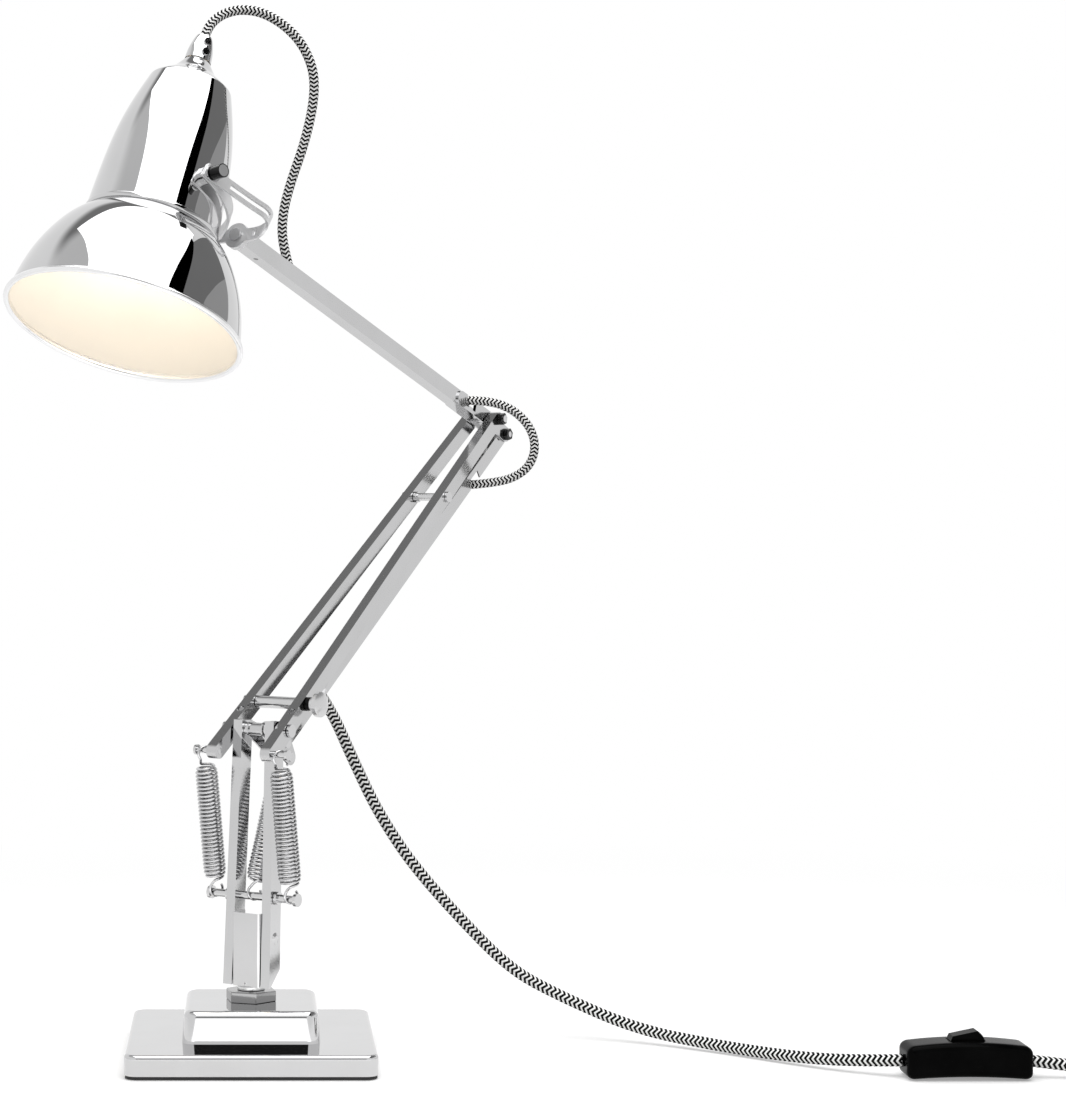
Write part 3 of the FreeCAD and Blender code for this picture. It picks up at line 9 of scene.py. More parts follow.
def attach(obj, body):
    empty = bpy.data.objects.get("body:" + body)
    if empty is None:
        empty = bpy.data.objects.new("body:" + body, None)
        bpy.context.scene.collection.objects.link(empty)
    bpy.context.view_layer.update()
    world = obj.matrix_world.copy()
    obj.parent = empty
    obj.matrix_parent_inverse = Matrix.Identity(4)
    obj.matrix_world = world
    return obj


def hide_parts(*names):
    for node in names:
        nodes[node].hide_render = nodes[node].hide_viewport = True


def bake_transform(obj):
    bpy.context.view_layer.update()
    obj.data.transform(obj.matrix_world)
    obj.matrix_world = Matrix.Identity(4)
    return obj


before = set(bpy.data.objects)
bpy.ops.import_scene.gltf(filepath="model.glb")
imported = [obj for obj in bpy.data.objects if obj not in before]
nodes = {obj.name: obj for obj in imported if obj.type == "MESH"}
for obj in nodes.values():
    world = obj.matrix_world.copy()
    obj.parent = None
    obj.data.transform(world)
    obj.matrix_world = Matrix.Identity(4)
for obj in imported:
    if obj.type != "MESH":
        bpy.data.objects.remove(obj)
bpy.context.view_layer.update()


# Camera: level with the middle of the lamp, about 1.7 m in front of it.
# The frame is shifted because the lamp stands left of the picture's middle.
camera = bpy.data.cameras.new("camera")
camera.sensor_fit = "VERTICAL"
camera.sensor_height = 36.0
camera.lens = 89.155
camera.shift_x = 0.2565
camera.shift_y = -0.0442


def placed(name, data):
    """A new object in the scene."""
    thing = bpy.data.objects.new(name, data)
    bpy.context.collection.objects.link(thing)
    return thing


camera_object = placed("camera", camera)
camera_object.location = (-0.00079, -1.6766, 0.33816)
camera_object.rotation_euler = (math.radians(90), 0, 0)
bpy.context.scene.camera = camera_object
bpy.context.scene.view_settings.view_transform = "Standard"


# Base: a square foot in two steps, pressed from steel, polished and chromium plated over an iron weight.
# A black rubber pad is glued under it, and a hexagon nut holds the bush that the fork turns in.
STEP_SIDE = 0.083
STEP_FOOT = 0.0144
STEP_HEIGHT = 0.0193
STEP_DRAW = 0.97
STEP_CORNER = 0.0083
STEP_EDGE = 0.004
NUT_FLATS = 0.028
NUT_FOOT = 0.0337
NUT_HEIGHT = 0.0065
NUT_TURN = math.radians(11)
NUT_EDGE = 0.0006
FACING_UP = 0.9
UPRIGHT = 0.5
SLACK = 0.00001
SMOOTH_ANGLE = math.radians(32)
NOISE_RANGE = (0.3, 0.7)
LINE_DRAW = 0.02
WORN = (0.955, 0.955, 0.96)
CLEAN = (1, 1, 1.01)
SKIN_LIGHTER = 1.25
SKIN_LIFT = 0.002
SKIN_GLOSS = (0.85, 1.2)


def new_finish(name):
    material = bpy.data.materials.new(name)
    material.use_nodes = True
    return material, material.node_tree, material.node_tree.nodes["Principled BSDF"]


def spot_on(tree):
    """Place on the piece, in metres from the lamp's origin."""
    return tree.nodes.new("ShaderNodeTexCoord").outputs["Object"]


def grain(tree, scale, detail, along=None):
    """Noise over a piece. With a direction it is drawn out that way, as polishing lines are."""
    spot = spot_on(tree)
    if along:
        turn = tree.nodes.new("ShaderNodeMapping")
        lengthwise = Vector(along).rotation_difference(Vector((1, 0, 0)))
        turn.inputs["Rotation"].default_value = lengthwise.to_euler()
        draw = tree.nodes.new("ShaderNodeMapping")
        draw.inputs["Scale"].default_value = (LINE_DRAW, 1, 1)
        tree.links.new(spot, turn.inputs["Vector"])
        tree.links.new(turn.outputs["Vector"], draw.inputs["Vector"])
        spot = draw.outputs["Vector"]
    noise = tree.nodes.new("ShaderNodeTexNoise")
    noise.inputs["Scale"].default_value = scale
    noise.inputs["Detail"].default_value = detail
    tree.links.new(spot, noise.inputs["Vector"])
    return noise.outputs["Fac"]


def spread(tree, value, edges, levels, kind="LINEAR"):
    """A value carried from between two edges to between two levels."""
    node = tree.nodes.new("ShaderNodeMapRange")
    node.interpolation_type = kind
    for name, setting in zip(("From Min", "From Max", "To Min", "To Max"), (*edges, *levels)):
        node.inputs[name].default_value = setting
    tree.links.new(value, node.inputs["Value"])
    return node.outputs["Result"]


def two_tones(tree, value, dark, light, edges=NOISE_RANGE):
    """A dark colour below the first edge, a light one above the second, and a ramp between."""
    ramp = tree.nodes.new("ShaderNodeValToRGB")
    for stop, edge, colour in zip(ramp.color_ramp.elements, edges, (dark, light)):
        stop.position = edge
        stop.color = (*colour, 1)
    tree.links.new(value, ramp.inputs["Fac"])
    return ramp.outputs["Color"]


def raised(tree, shader, value, strength, height):
    """Fine relief of a surface."""
    bump = tree.nodes.new("ShaderNodeBump")
    bump.inputs["Strength"].default_value = strength
    bump.inputs["Distance"].default_value = height
    tree.links.new(value, bump.inputs["Height"])
    tree.links.new(bump.outputs["Normal"], shader.inputs["Normal"])


def plated(name, level, polish, haze, along=None, line_depth=0.00001):
    """Plated steel: a mirror dulled a little where it was wiped and handled, with faint polishing lines."""
    material, tree, shader = new_finish(name)
    shader.inputs["Metallic"].default_value = 1
    wipes = grain(tree, scale=30, detail=4)
    worn, clean = ([level * share for share in tint] for tint in (WORN, CLEAN))
    tree.links.new(two_tones(tree, wipes, worn, clean), shader.inputs["Base Color"])
    tree.links.new(spread(tree, wipes, NOISE_RANGE, (polish + haze, polish)), shader.inputs["Roughness"])
    if along:
        lines = grain(tree, scale=1800, detail=2, along=along)
        raised(tree, shader, lines, strength=0.25, height=line_depth)
    elif line_depth:
        raised(tree, shader, grain(tree, scale=90, detail=1), strength=0.1, height=line_depth)
    return material


def moulded(name, colour, roughness, bumps, depth):
    """Moulded black or pale plastic and rubber, with a fine skin and a slightly uneven gloss."""
    material, tree, shader = new_finish(name)
    skin = grain(tree, scale=55, detail=5)
    lighter = [min(1, c * SKIN_LIGHTER + SKIN_LIFT) for c in colour]
    tree.links.new(two_tones(tree, skin, colour, lighter), shader.inputs["Base Color"])
    gloss = [roughness * share for share in SKIN_GLOSS]
    tree.links.new(spread(tree, skin, NOISE_RANGE, gloss), shader.inputs["Roughness"])
    raised(tree, shader, grain(tree, scale=bumps, detail=2), strength=0.35, height=depth)
    return material


def coat(piece, material):
    piece.data.materials.clear()
    piece.data.materials.append(material)


def dress(material, *names):
    """Gives CAD nodes their finish."""
    for name in names:
        coat(nodes[name], material)


def pick(piece):
    """This piece alone, and active."""
    bpy.ops.object.select_all(action="DESELECT")
    bpy.context.view_layer.objects.active = piece
    piece.select_set(True)


def edit(piece):
    """Edit mode on one piece alone, with nothing picked."""
    pick(piece)
    bpy.ops.object.mode_set(mode="EDIT")
    bpy.ops.mesh.select_all(action="DESELECT")
    return bmesh.from_edit_mesh(piece.data)


def block(length, width, height, foot=0.0):
    """A box that stands on a given height."""
    bpy.ops.mesh.primitive_cube_add(size=1, location=(0, 0, foot + height / 2))
    piece = bpy.context.object
    piece.scale = (length, width, height)
    bpy.ops.object.transform_apply(location=True, rotation=True, scale=True)
    return piece


def rounded(offset, segments):
    """The picked edges rounded off."""
    bpy.ops.mesh.bevel(offset=offset, offset_type="OFFSET", segments=segments, profile=0.5, affect="EDGES")


def finished(piece, name, material, body=None):
    """Object mode again, smooth where the surface is, named, finished and riding on its body."""
    bpy.ops.object.mode_set(mode="OBJECT")
    bpy.ops.object.shade_smooth_by_angle(angle=SMOOTH_ANGLE)
    bpy.ops.object.modifier_add(type="WEIGHTED_NORMAL")
    piece.modifiers[-1].keep_sharp = True
    bpy.ops.object.modifier_apply(modifier=piece.modifiers[-1].name)
    bpy.ops.object.transform_apply(location=True, rotation=True, scale=True)
    piece.name = piece.data.name = name
    coat(piece, material)
    if body:
        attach(piece, body)


base_chrome = plated("base_chrome", level=0.60, polish=0.025, haze=0.05)
dress(base_chrome, "base_plate", "base_bush")
dress(moulded("pad_rubber", (0.011, 0.011, 0.011), roughness=0.6, bumps=900, depth=0.0002), "base_pad")
dress(moulded("weight_iron", (0.09, 0.088, 0.085), roughness=0.7, bumps=400, depth=0.0004), "base_weight")

base_step = block(STEP_SIDE, STEP_SIDE, STEP_HEIGHT, STEP_FOOT)
cage = edit(base_step)
bpy.ops.mesh.select_mode(type="FACE")
for face in cage.faces:
    face.select_set(face.normal.z > FACING_UP)
bpy.ops.transform.resize(value=(STEP_DRAW, STEP_DRAW, 1))
cage = bmesh.from_edit_mesh(base_step.data)
bpy.ops.mesh.select_mode(type="EDGE")
bpy.ops.mesh.select_all(action="DESELECT")
for side in cage.edges:
    side.select_set(abs(side.verts[0].co.z - side.verts[1].co.z) > STEP_HEIGHT / 2)
rounded(STEP_CORNER, segments=10)
cage = bmesh.from_edit_mesh(base_step.data)
bpy.ops.mesh.select_all(action="DESELECT")
rim_height = STEP_FOOT + STEP_HEIGHT - SLACK
for side in cage.edges:
    on_top = min(vertex.co.z for vertex in side.verts) > rim_height
    side.select_set(on_top and any(abs(face.normal.z) < UPRIGHT for face in side.link_faces))
rounded(STEP_EDGE, segments=8)
finished(base_step, "base_step_pressed", base_chrome, "base")
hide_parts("base_step")

nut_plating = plated("nut_plating", level=0.30, polish=0.05, haze=0.06)
bpy.ops.mesh.primitive_cylinder_add(vertices=6, radius=NUT_FLATS / math.sqrt(3), depth=NUT_HEIGHT,
                                    location=(0, 0, NUT_FOOT + NUT_HEIGHT / 2), rotation=(0, 0, NUT_TURN))
base_nut = bpy.context.object
bpy.ops.object.transform_apply(location=True, rotation=True, scale=True)
edit(base_nut)
bpy.ops.mesh.select_all(action="SELECT")
rounded(NUT_EDGE, segments=2)
finished(base_nut, "base_nut_turned", nut_plating, "base")
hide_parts("base_hex_nut")


# Fork: a folded plate on a spindle that turns in the base, two leaning channel uprights screwed to it,
# a turned rod that the springs hook on, and the pin that the lower arm swings on. All plated steel.
UPWARDS = (0.0, 0.0, 1.0)
fork_plating = plated("fork_plating", level=0.60, polish=0.06, haze=0.06, along=UPWARDS)
turned_steel = plated("turned_steel", level=0.62, polish=0.06, haze=0.08)
dress(fork_plating, "fork_plate", "fork_uprights")
dress(turned_steel, "fork_spindle", "spindle_lock_nut", "fork_screws", "fork_spring_rod", "fork_pivot_pin",
      "pivot_washers")


# Springs: three tension springs of plated wire, pulled a little open, with drawn-in ends and open hooks.
# Two pull the arm's tail down outside the fork, and the middle one pulls on the crank between the uprights.
ARM_YAW = math.radians(235)
SPRING_ROD = (-0.002786, 0, 0.097)
ARM_TAIL = (0.009843, 0, 0.186131)
CRANK_EYE = (-0.035, 0, 0.180)
SPRING_ASIDE = 0.028
WIRE = 0.0017
SPRING_RADIUS = 0.0063
DRAWN_RADIUS = 0.0043
HOOK = 0.0043
HOOK_SHIFT = 0.0022
HOOK_RISE = 0.0089
HOOK_TURN = math.radians(-30)
HOOK_BEGIN = 215
HOOK_SWEEP = 250
HOOK_POINTS = 24
HOOK_LEAVE = 0.006
TURNS_JOIN = 0.009
RISE_POINTS = 10
SPRING_TURNS = 30
DRAWN_TURNS = 2.5
TURN_POINTS = 28
START_TURN = 0.25
# Reach and depth of the shade painted into the wire's colour between the spring's turns.
GAP_SHADE_REACH = 0.0026
GAP_SHADE_DEPTH = 1.9
PARTING_SHARE = 0.74

arm_turn = Matrix.Rotation(ARM_YAW, 4, "Z")


def spring_line(foot, head):
    """Centreline of a spring between two pins: a hook, a rise, the turns, and the same again upside down."""
    foot, head = Vector(foot), Vector(head)
    span = (head - foot).length
    upright = (head - foot) / span
    across = -upright.cross(Vector((0, 1, 0))).normalized()
    seat = Matrix((across, (0, 1, 0), upright)).transposed().to_4x4()
    place = arm_turn @ Matrix.Translation(foot) @ seat @ Matrix.Rotation(HOOK_TURN, 4, "Z")
    ring = [math.radians(HOOK_BEGIN - HOOK_SWEEP * i / HOOK_POINTS) for i in range(HOOK_POINTS + 1)]
    hook = [Vector((HOOK * math.cos(angle), 0, HOOK_SHIFT - HOOK * math.sin(angle))) for angle in ring]
    body = []
    for i in range(SPRING_TURNS * TURN_POINTS - TURN_POINTS // 2 + 1):
        turn = START_TURN + i / TURN_POINTS
        near = min(turn, SPRING_TURNS - turn) / DRAWN_TURNS
        size = DRAWN_RADIUS + (SPRING_RADIUS - DRAWN_RADIUS) * math.sin(min(near, 1) * math.pi / 2)
        angle = 2 * math.pi * turn
        height = HOOK_RISE + (span - 2 * HOOK_RISE) * turn / SPRING_TURNS
        body.append(Vector((size * math.cos(angle), size * math.sin(angle), height)))
    leave = (hook[-1] - hook[-2]).normalized() * HOOK_LEAVE
    join = (body[1] - body[0]).normalized() * TURNS_JOIN
    rise = []
    for i in range(1, RISE_POINTS):
        t = i / RISE_POINTS
        rise.append(hook[-1] * (2 * t ** 3 - 3 * t ** 2 + 1) + leave * (t ** 3 - 2 * t ** 2 + t)
                    + body[0] * (3 * t ** 2 - 2 * t ** 3) + join * (t ** 3 - t ** 2))
    foot_end = hook + rise
    head_end = [Vector((spot.x, -spot.y, span - spot.z)) for spot in reversed(foot_end)]
    return [place @ spot for spot in foot_end + body + head_end]


def wound_wire(name, lines, material):
    """Round wire bent along one or more lines."""
    curve = bpy.data.curves.new(name, "CURVE")
    curve.dimensions = "3D"
    curve.bevel_depth = WIRE / 2
    curve.bevel_resolution = 3
    curve.use_fill_caps = True
    for line in lines:
        spline = curve.splines.new("POLY")
        spline.points.add(len(line) - 1)
        for point, spot in zip(spline.points, line):
            point.co = (*spot, 1)
        spline.use_smooth = True
    pick(placed(name, curve))
    bpy.ops.object.convert(target="MESH")
    spring = bpy.context.object
    coat(spring, material)
    return spring


spring_plating = plated("spring_plating", level=0.78, polish=0.07, haze=0.06)
tree = spring_plating.node_tree
shader = tree.nodes["Principled BSDF"]
# Painted shade: an ambient occlusion node darkens the wire's colour between the turns and at the hooks, where
# shade falls.
painted_gap_shade = tree.nodes.new("ShaderNodeAmbientOcclusion")
painted_gap_shade.inputs["Distance"].default_value = GAP_SHADE_REACH
tree.links.new(shader.inputs["Base Color"].links[0].from_socket, painted_gap_shade.inputs["Color"])
deepened_gap_shade = tree.nodes.new("ShaderNodeGamma")
deepened_gap_shade.inputs["Gamma"].default_value = GAP_SHADE_DEPTH
tree.links.new(painted_gap_shade.outputs["Color"], deepened_gap_shade.inputs["Color"])
tree.links.new(deepened_gap_shade.outputs["Color"], shader.inputs["Base Color"])
outer_line = spring_line(SPRING_ROD, ARM_TAIL)
aside = arm_turn @ Vector((0, SPRING_ASIDE, 0))
outer_lines = [[spot + aside * way for spot in outer_line] for way in (-1, 1)]
outer_springs = wound_wire("outer_springs_wound", outer_lines, spring_plating)
spring_foot = arm_turn @ Vector(SPRING_ROD)
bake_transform(outer_springs)
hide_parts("outer_springs")

middle_line = spring_line(SPRING_ROD, CRANK_EYE)
crank_eye = arm_turn @ Vector(CRANK_EYE)
parting = spring_foot.lerp(crank_eye, PARTING_SHARE)
pull = crank_eye - spring_foot
part_point = next(i for i, spot in enumerate(middle_line) if (spot - parting).dot(pull) > 0)
middle_lower = wound_wire("middle_spring_lower", [middle_line[:part_point + 1]], spring_plating)
middle_upper = wound_wire("middle_spring_upper", [middle_line[part_point:]], spring_plating)
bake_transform(middle_lower)
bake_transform(middle_upper)
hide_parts("middle_spring")
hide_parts("middle_spring")


# Lower arm: two folded channel bars that draw together towards the elbow, joined by a clamp rod low down and
# a collared rod high up. A domed knob tightens the clamp, and a small clip on the right bar holds the cord.
# All of it is plated steel, with blackened nuts at the elbow.
LOWER_ARM_WAY = (0.465, 0.664, 0.585)
ARM_ASIDE = (0.81915, -0.57358, 0)
KNOB_COLLAR_END = 0.0258
KNOB_BLACK = (0.012, 0.012, 0.012)
bar_plating = plated("bar_plating", level=0.56, polish=0.09, haze=0.06, along=LOWER_ARM_WAY)
black_steel = plated("blackened_steel", level=0.035, polish=0.16, haze=0.1)
dress(bar_plating, "lower_bar_left", "lower_bar_right", "cord_clip")
dress(turned_steel, "spring_tail_pins", "clamp_rod", "clamp_sleeve", "cross_rod", "clip_screw", "elbow_pin")
dress(black_steel, "elbow_nut", "elbow_link_nut")


def reckoned(tree, operation, *inputs, kind="ShaderNodeMath", output="Value"):
    """What a math node makes of its inputs, which are sockets or plain values."""
    node = tree.nodes.new(kind)
    node.operation = operation
    for socket, value in zip(node.inputs, inputs):
        if isinstance(value, bpy.types.NodeSocket):
            tree.links.new(value, socket)
        else:
            socket.default_value = value
    return node.outputs[output]


def vector(tree, operation, *inputs):
    """The same with vectors, for a vector or, from some operations, a number."""
    output = "Value" if operation in ("DOT_PRODUCT", "LENGTH", "DISTANCE") else "Vector"
    return reckoned(tree, operation, *inputs, kind="ShaderNodeVectorMath", output=output)


def tinted(material, where, tint):
    """The same finish, with another colour where the value is 1."""
    tree = material.node_tree
    colour = tree.nodes["Principled BSDF"].inputs["Base Color"]
    mix = tree.nodes.new("ShaderNodeMix")
    mix.data_type = "RGBA"
    mix.inputs["B"].default_value = (*tint, 1)
    tree.links.new(where, mix.inputs["Factor"])
    tree.links.new(colour.links[0].from_socket, mix.inputs["A"])
    tree.links.new(mix.outputs["Result"], colour)


knob_satin = plated("knob_satin", level=0.62, polish=0.2, haze=0.08)
tree = knob_satin.node_tree
outwards = vector(tree, "DOT_PRODUCT", spot_on(tree), ARM_ASIDE)
tinted(knob_satin, reckoned(tree, "LESS_THAN", outwards, KNOB_COLLAR_END), KNOB_BLACK)
dress(knob_satin, "clamp_knob")


# Crank and link: a pair of small plates on the fork's pivot, and a folded channel up to the elbow behind the
# right bar. They keep the upper arm at its angle while the lower arm swings. Plated steel, riveted.
LINK_SLOT = (0.1512, 0.2130, 0.3520)
LINK_SLOT_REACH = 0.013
# Colour of the shade painted inside the channels round the cord's slots.
PAINTED_SLOT_SHADE = (0.004, 0.004, 0.004)


def shadowed(material, middle, reach):
    """A plated channel whose inside is painted black round the slot where the cord goes in, as painted shade.
    """
    tree = material.node_tree
    away = vector(tree, "SUBTRACT", spot_on(tree), middle)
    close = reckoned(tree, "LESS_THAN", vector(tree, "LENGTH", away), reach)
    normal = tree.nodes.new("ShaderNodeTexCoord").outputs["Normal"]
    inside = reckoned(tree, "LESS_THAN", vector(tree, "DOT_PRODUCT", away, normal), 0)
    tinted(material, reckoned(tree, "MULTIPLY", close, inside), PAINTED_SLOT_SHADE)
    return material


link_plating = plated("link_plating", level=0.56, polish=0.09, haze=0.06, along=LOWER_ARM_WAY)
# Painted shade: the link's inside is painted black round the cord's slot.
dress(shadowed(link_plating, LINK_SLOT, LINK_SLOT_REACH), "link_bar")
dress(bar_plating, "bell_crank")
dress(turned_steel, "crank_pins", "elbow_link_pin")


# Upper arm: one folded channel of plated steel, open along its top, between two cheeks at the elbow.
# A plug is held in its far end by a grub screw, and the bracket's rivet turns in the plug.
UPPER_ARM_WAY = (-0.541, -0.773, 0.331)
ARM_SLOT = (0.1475, 0.2105, 0.4060)
ARM_SLOT_REACH = 0.012
arm_plating = plated("arm_plating", level=0.55, polish=0.09, haze=0.06, along=UPPER_ARM_WAY)
# Painted shade: the upper arm's inside is painted black round the cord's slot.
dress(shadowed(arm_plating, ARM_SLOT, ARM_SLOT_REACH), "upper_arm_channel", "elbow_cheeks")
dress(plated("plug_steel", level=0.42, polish=0.25, haze=0.1), "arm_end_plug")
dress(plated("grub_steel", level=0.2, polish=0.2, haze=0.1), "arm_grub_screw")
dress(turned_steel, "head_rivet")


# Head bracket: a plated steel strip bent round behind the shade, with a round boss on the arm's end and a
# slotted leg on the right. It carries the stud that the shade tilts on, with its washers and friction knob.
BOSS_FOOT = (-0.00707, -0.0101, 0.49984)
BOSS_RADIUS = 0.0081
BOSS_HEIGHT = 0.004
BOSS_SIDES = 64
STRIP_WIDTH = 0.0084
STRIP_THICK = 0.0016
SLOT_SHARE = 0.36
OVER = (0.19, 0.27, 0.94)
RIGHT_WIDE = (0.37, 0.44, 0.81)
LEFT_WIDE = (0.40, 0.46, 0.79)
STRIP_STATIONS = [
    ((-0.0278, -0.0585, 0.5359), LEFT_WIDE), ((-0.02464, -0.05605, 0.53291), LEFT_WIDE),
    ((-0.01835, -0.05137, 0.52703), LEFT_WIDE), ((-0.0110, -0.0300, 0.5125), (0.30, 0.37, 0.87)),
    ((-0.0175, -0.0120, 0.5035), OVER), ((-0.0225, -0.0026, 0.5009), OVER),
    ((-0.0170, -0.0068, 0.5009), OVER), ((-0.0088, -0.01257, 0.5009), OVER),
    ((-0.0010, -0.0180, 0.5009), OVER), ((0.0055, -0.0220, 0.5020), (0.25, 0.32, 0.91)),
    ((0.0115, -0.0255, 0.5075), RIGHT_WIDE), ((0.0105, -0.0288, 0.5130), RIGHT_WIDE),
    ((0.0020, -0.0355, 0.5175), RIGHT_WIDE), ((-0.02339, -0.05747, 0.53311), RIGHT_WIDE),
    ((-0.0267, -0.0599, 0.5360), RIGHT_WIDE)]
STRIP_OPENINGS = ((5.62, 5.88), (8.32, 8.58), (10.7, 12.6))
STRIP_STEPS = 12
STUD_ROOT = (-0.05416, -0.02242, 0.52812)
STUD_WAY = (0.6559, -0.7474, 0.1070)
KNOB_FACE_RADIUS = 0.0036
KNOB_SIDE_BLACK = (0.02, 0.02, 0.02)

bracket_plating = plated("bracket_plating", level=0.74, polish=0.28, haze=0.08)
bracket_plating.node_tree.nodes["Principled BSDF"].inputs["Metallic"].default_value = 0.5
dress(turned_steel, "tilt_stud", "stud_washers", "cap_screws")


def strip_spot(place):
    """Middle and width direction of the strip at a place counted in stations, on an even curve."""
    last = len(STRIP_STATIONS) - 1
    at = min(max(int(round(place)), 1), last - 1)
    t = place - at + 0.5
    if place < 0.5 or place > last - 0.5:
        here = min(int(place), last - 1)
        pairs = [((1 - place + here), here), ((place - here), here + 1)]
    else:
        pairs = [((1 - t) ** 2 / 2, at - 1), (0.5 + t - t * t, at), (t * t / 2, at + 1)]
    middle = sum((Vector(STRIP_STATIONS[i][0]) * share for share, i in pairs), Vector())
    wide = sum((Vector(STRIP_STATIONS[i][1]) * share for share, i in pairs), Vector())
    return middle, wide.normalized()


verts, faces = [], []
rows = STRIP_STEPS * (len(STRIP_STATIONS) - 1)
for row in range(rows + 1):
    middle, wide = strip_spot(row / STRIP_STEPS)
    verts += [middle + wide * (STRIP_WIDTH / 2 * share) for share in (-1, -SLOT_SHARE, SLOT_SHARE, 1)]
for row in range(rows):
    place = (row + 0.5) / STRIP_STEPS
    for column in range(3):
        if column != 1 or not any(low < place < high for low, high in STRIP_OPENINGS):
            here = row * 4 + column
            faces.append((here, here + 1, here + 5, here + 4))
mesh = bpy.data.meshes.new("head_bracket_strip")
mesh.from_pydata(verts, [], faces)
bracket = placed("head_bracket_strip", mesh)
pick(bracket)
bpy.ops.object.modifier_add(type="SOLIDIFY")
bracket.modifiers[-1].thickness = STRIP_THICK
bracket.modifiers[-1].offset = 0
bpy.ops.object.modifier_apply(modifier=bracket.modifiers[-1].name)
boss_way = Vector(UPPER_ARM_WAY).normalized()
bpy.ops.mesh.primitive_cylinder_add(vertices=BOSS_SIDES, radius=BOSS_RADIUS, depth=BOSS_HEIGHT,
                                    location=Vector(BOSS_FOOT) + boss_way * (BOSS_HEIGHT / 2),
                                    rotation=boss_way.to_track_quat("Z", "Y").to_euler())
bpy.ops.object.transform_apply(location=True, rotation=True, scale=True)
bracket.select_set(True)
bpy.context.view_layer.objects.active = bracket
bpy.ops.object.join()
edit(bracket)
bpy.ops.mesh.select_all(action="SELECT")
bpy.ops.mesh.normals_make_consistent(inside=False)
finished(bracket, "head_bracket_strip", bracket_plating, "head_bracket")
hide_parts("head_bracket")

knob_finish = plated("stud_knob_finish", level=0.62, polish=0.08, haze=0.08)
tree = knob_finish.node_tree
from_root = vector(tree, "SUBTRACT", spot_on(tree), STUD_ROOT)
radius = vector(tree, "LENGTH", vector(tree, "CROSS_PRODUCT", from_root, STUD_WAY))
tinted(knob_finish, reckoned(tree, "GREATER_THAN", radius, KNOB_FACE_RADIUS), KNOB_SIDE_BLACK)
dress(knob_finish, "stud_knob")


# Shade: a bell and a tapered body spun from sheet metal, joined at a small bead, polished and chromium plated
# outside and enamelled warm white inside. A conical cap clamps the cord on top with two screws.
# The profiles' knots are radius and height above the mouth, in millimetres.
SHADE_MOUTH = (-0.07658, -0.05445, 0.44154)
SHADE_LEAN = math.radians(-24.3)
SHEET = 0.0012
RIM_RADIUS = 0.0019
RIM_MIDDLE = 0.0716
ROLL_BEGIN = 140
ROLL_SWEEP = 290
ROLL_POINTS = 24
BELL_KNOTS = [(71.3, 3.4), (69.85, 12.0), (68.65, 17.8), (65.95, 27.8), (62.0, 38.0), (56.7, 48.3),
              (49.7, 58.4), (41.0, 67.0)]
BELL_OUT_FOOT = 0.0039
BELL_IN_FOOT = 0.0033
BEAD_KNOTS = [(41.0, 67.0), (41.55, 67.15), (41.8, 67.6), (41.8, 69.6), (41.55, 70.05), (40.95, 70.2)]
BODY_KNOTS = [(41.0, 69.0), (39.5, 94.038), (38.2, 110.024), (36.3, 125.047), (33.2, 140.551),
              (30.65, 150.47), (28.75, 157.018), (26.2, 165.3)]
BODY_OUT_FOOT = 0.0703
BODY_IN_TOP = 0.1638
CROWN_KNOTS = [(26.2, 165.3), (20.6, 169.975), (15.2, 174.37), (11.3, 179.325), (8.2, 184.0)]
CAP_KNOTS = [(8.4, 184.5), (8.2, 187.98), (7.8, 191.982), (6.9, 196.332), (5.8, 200.16), (5.1, 201.9)]
CAP_TOP = [(4.8, 202.1), (4.4, 202.2), (3.2, 202.2), (3.2, 184.5)]
SPUN_STEPS = 160
WELD = 0.000002
ENAMEL_DARK = (0.935, 0.905, 0.855)
ENAMEL_LIGHT = (0.945, 0.915, 0.865)


def metres(knots):
    return np.array(knots, float) / 1000


def fair_line(knots, steps=8):
    """Points on an even curve through a profile's knots."""
    spots = metres(knots)
    chord = np.hypot(*np.diff(spots, axis=0).T)
    last = len(spots) - 1
    rows = np.eye(last + 1)
    pull = np.zeros((last + 1, 2))
    for i in range(1, last):
        rows[i, i - 1:i + 2] = chord[i - 1], 2 * (chord[i - 1] + chord[i]), chord[i]
        pull[i] = 6 * ((spots[i + 1] - spots[i]) / chord[i] - (spots[i] - spots[i - 1]) / chord[i - 1])
    bend = np.linalg.solve(rows, pull)
    line = []
    for i in range(last):
        for k in range(steps):
            b = k / steps
            a = 1 - b
            line.append(a * spots[i] + b * spots[i + 1]
                        + ((a ** 3 - a) * bend[i] + (b ** 3 - b) * bend[i + 1]) * chord[i] ** 2 / 6)
    return np.array(line + [spots[-1]])


def inner_wall(line):
    """The same line moved in by the sheet's thickness."""
    run = np.gradient(line, axis=0)
    run /= np.hypot(run[:, 0], run[:, 1])[:, None]
    return line + np.stack([-run[:, 1], run[:, 0]], axis=1) * SHEET


def spun(name, profile):
    """Closed shell spun from a profile about the upright axis."""
    mesh = bpy.data.meshes.new(name)
    count = len(profile)
    mesh.from_pydata([(r, 0, h) for r, h in profile], [(i, (i + 1) % count) for i in range(count)], [])
    shell = placed(name, mesh)
    edit(shell)
    bpy.ops.mesh.select_all(action="SELECT")
    bpy.ops.mesh.spin(steps=SPUN_STEPS, angle=2 * math.pi, center=(0, 0, 0), axis=(0, 0, 1))
    bpy.ops.mesh.select_all(action="SELECT")
    bpy.ops.mesh.remove_doubles(threshold=WELD)
    bpy.ops.mesh.normals_make_consistent(inside=False)
    return shell


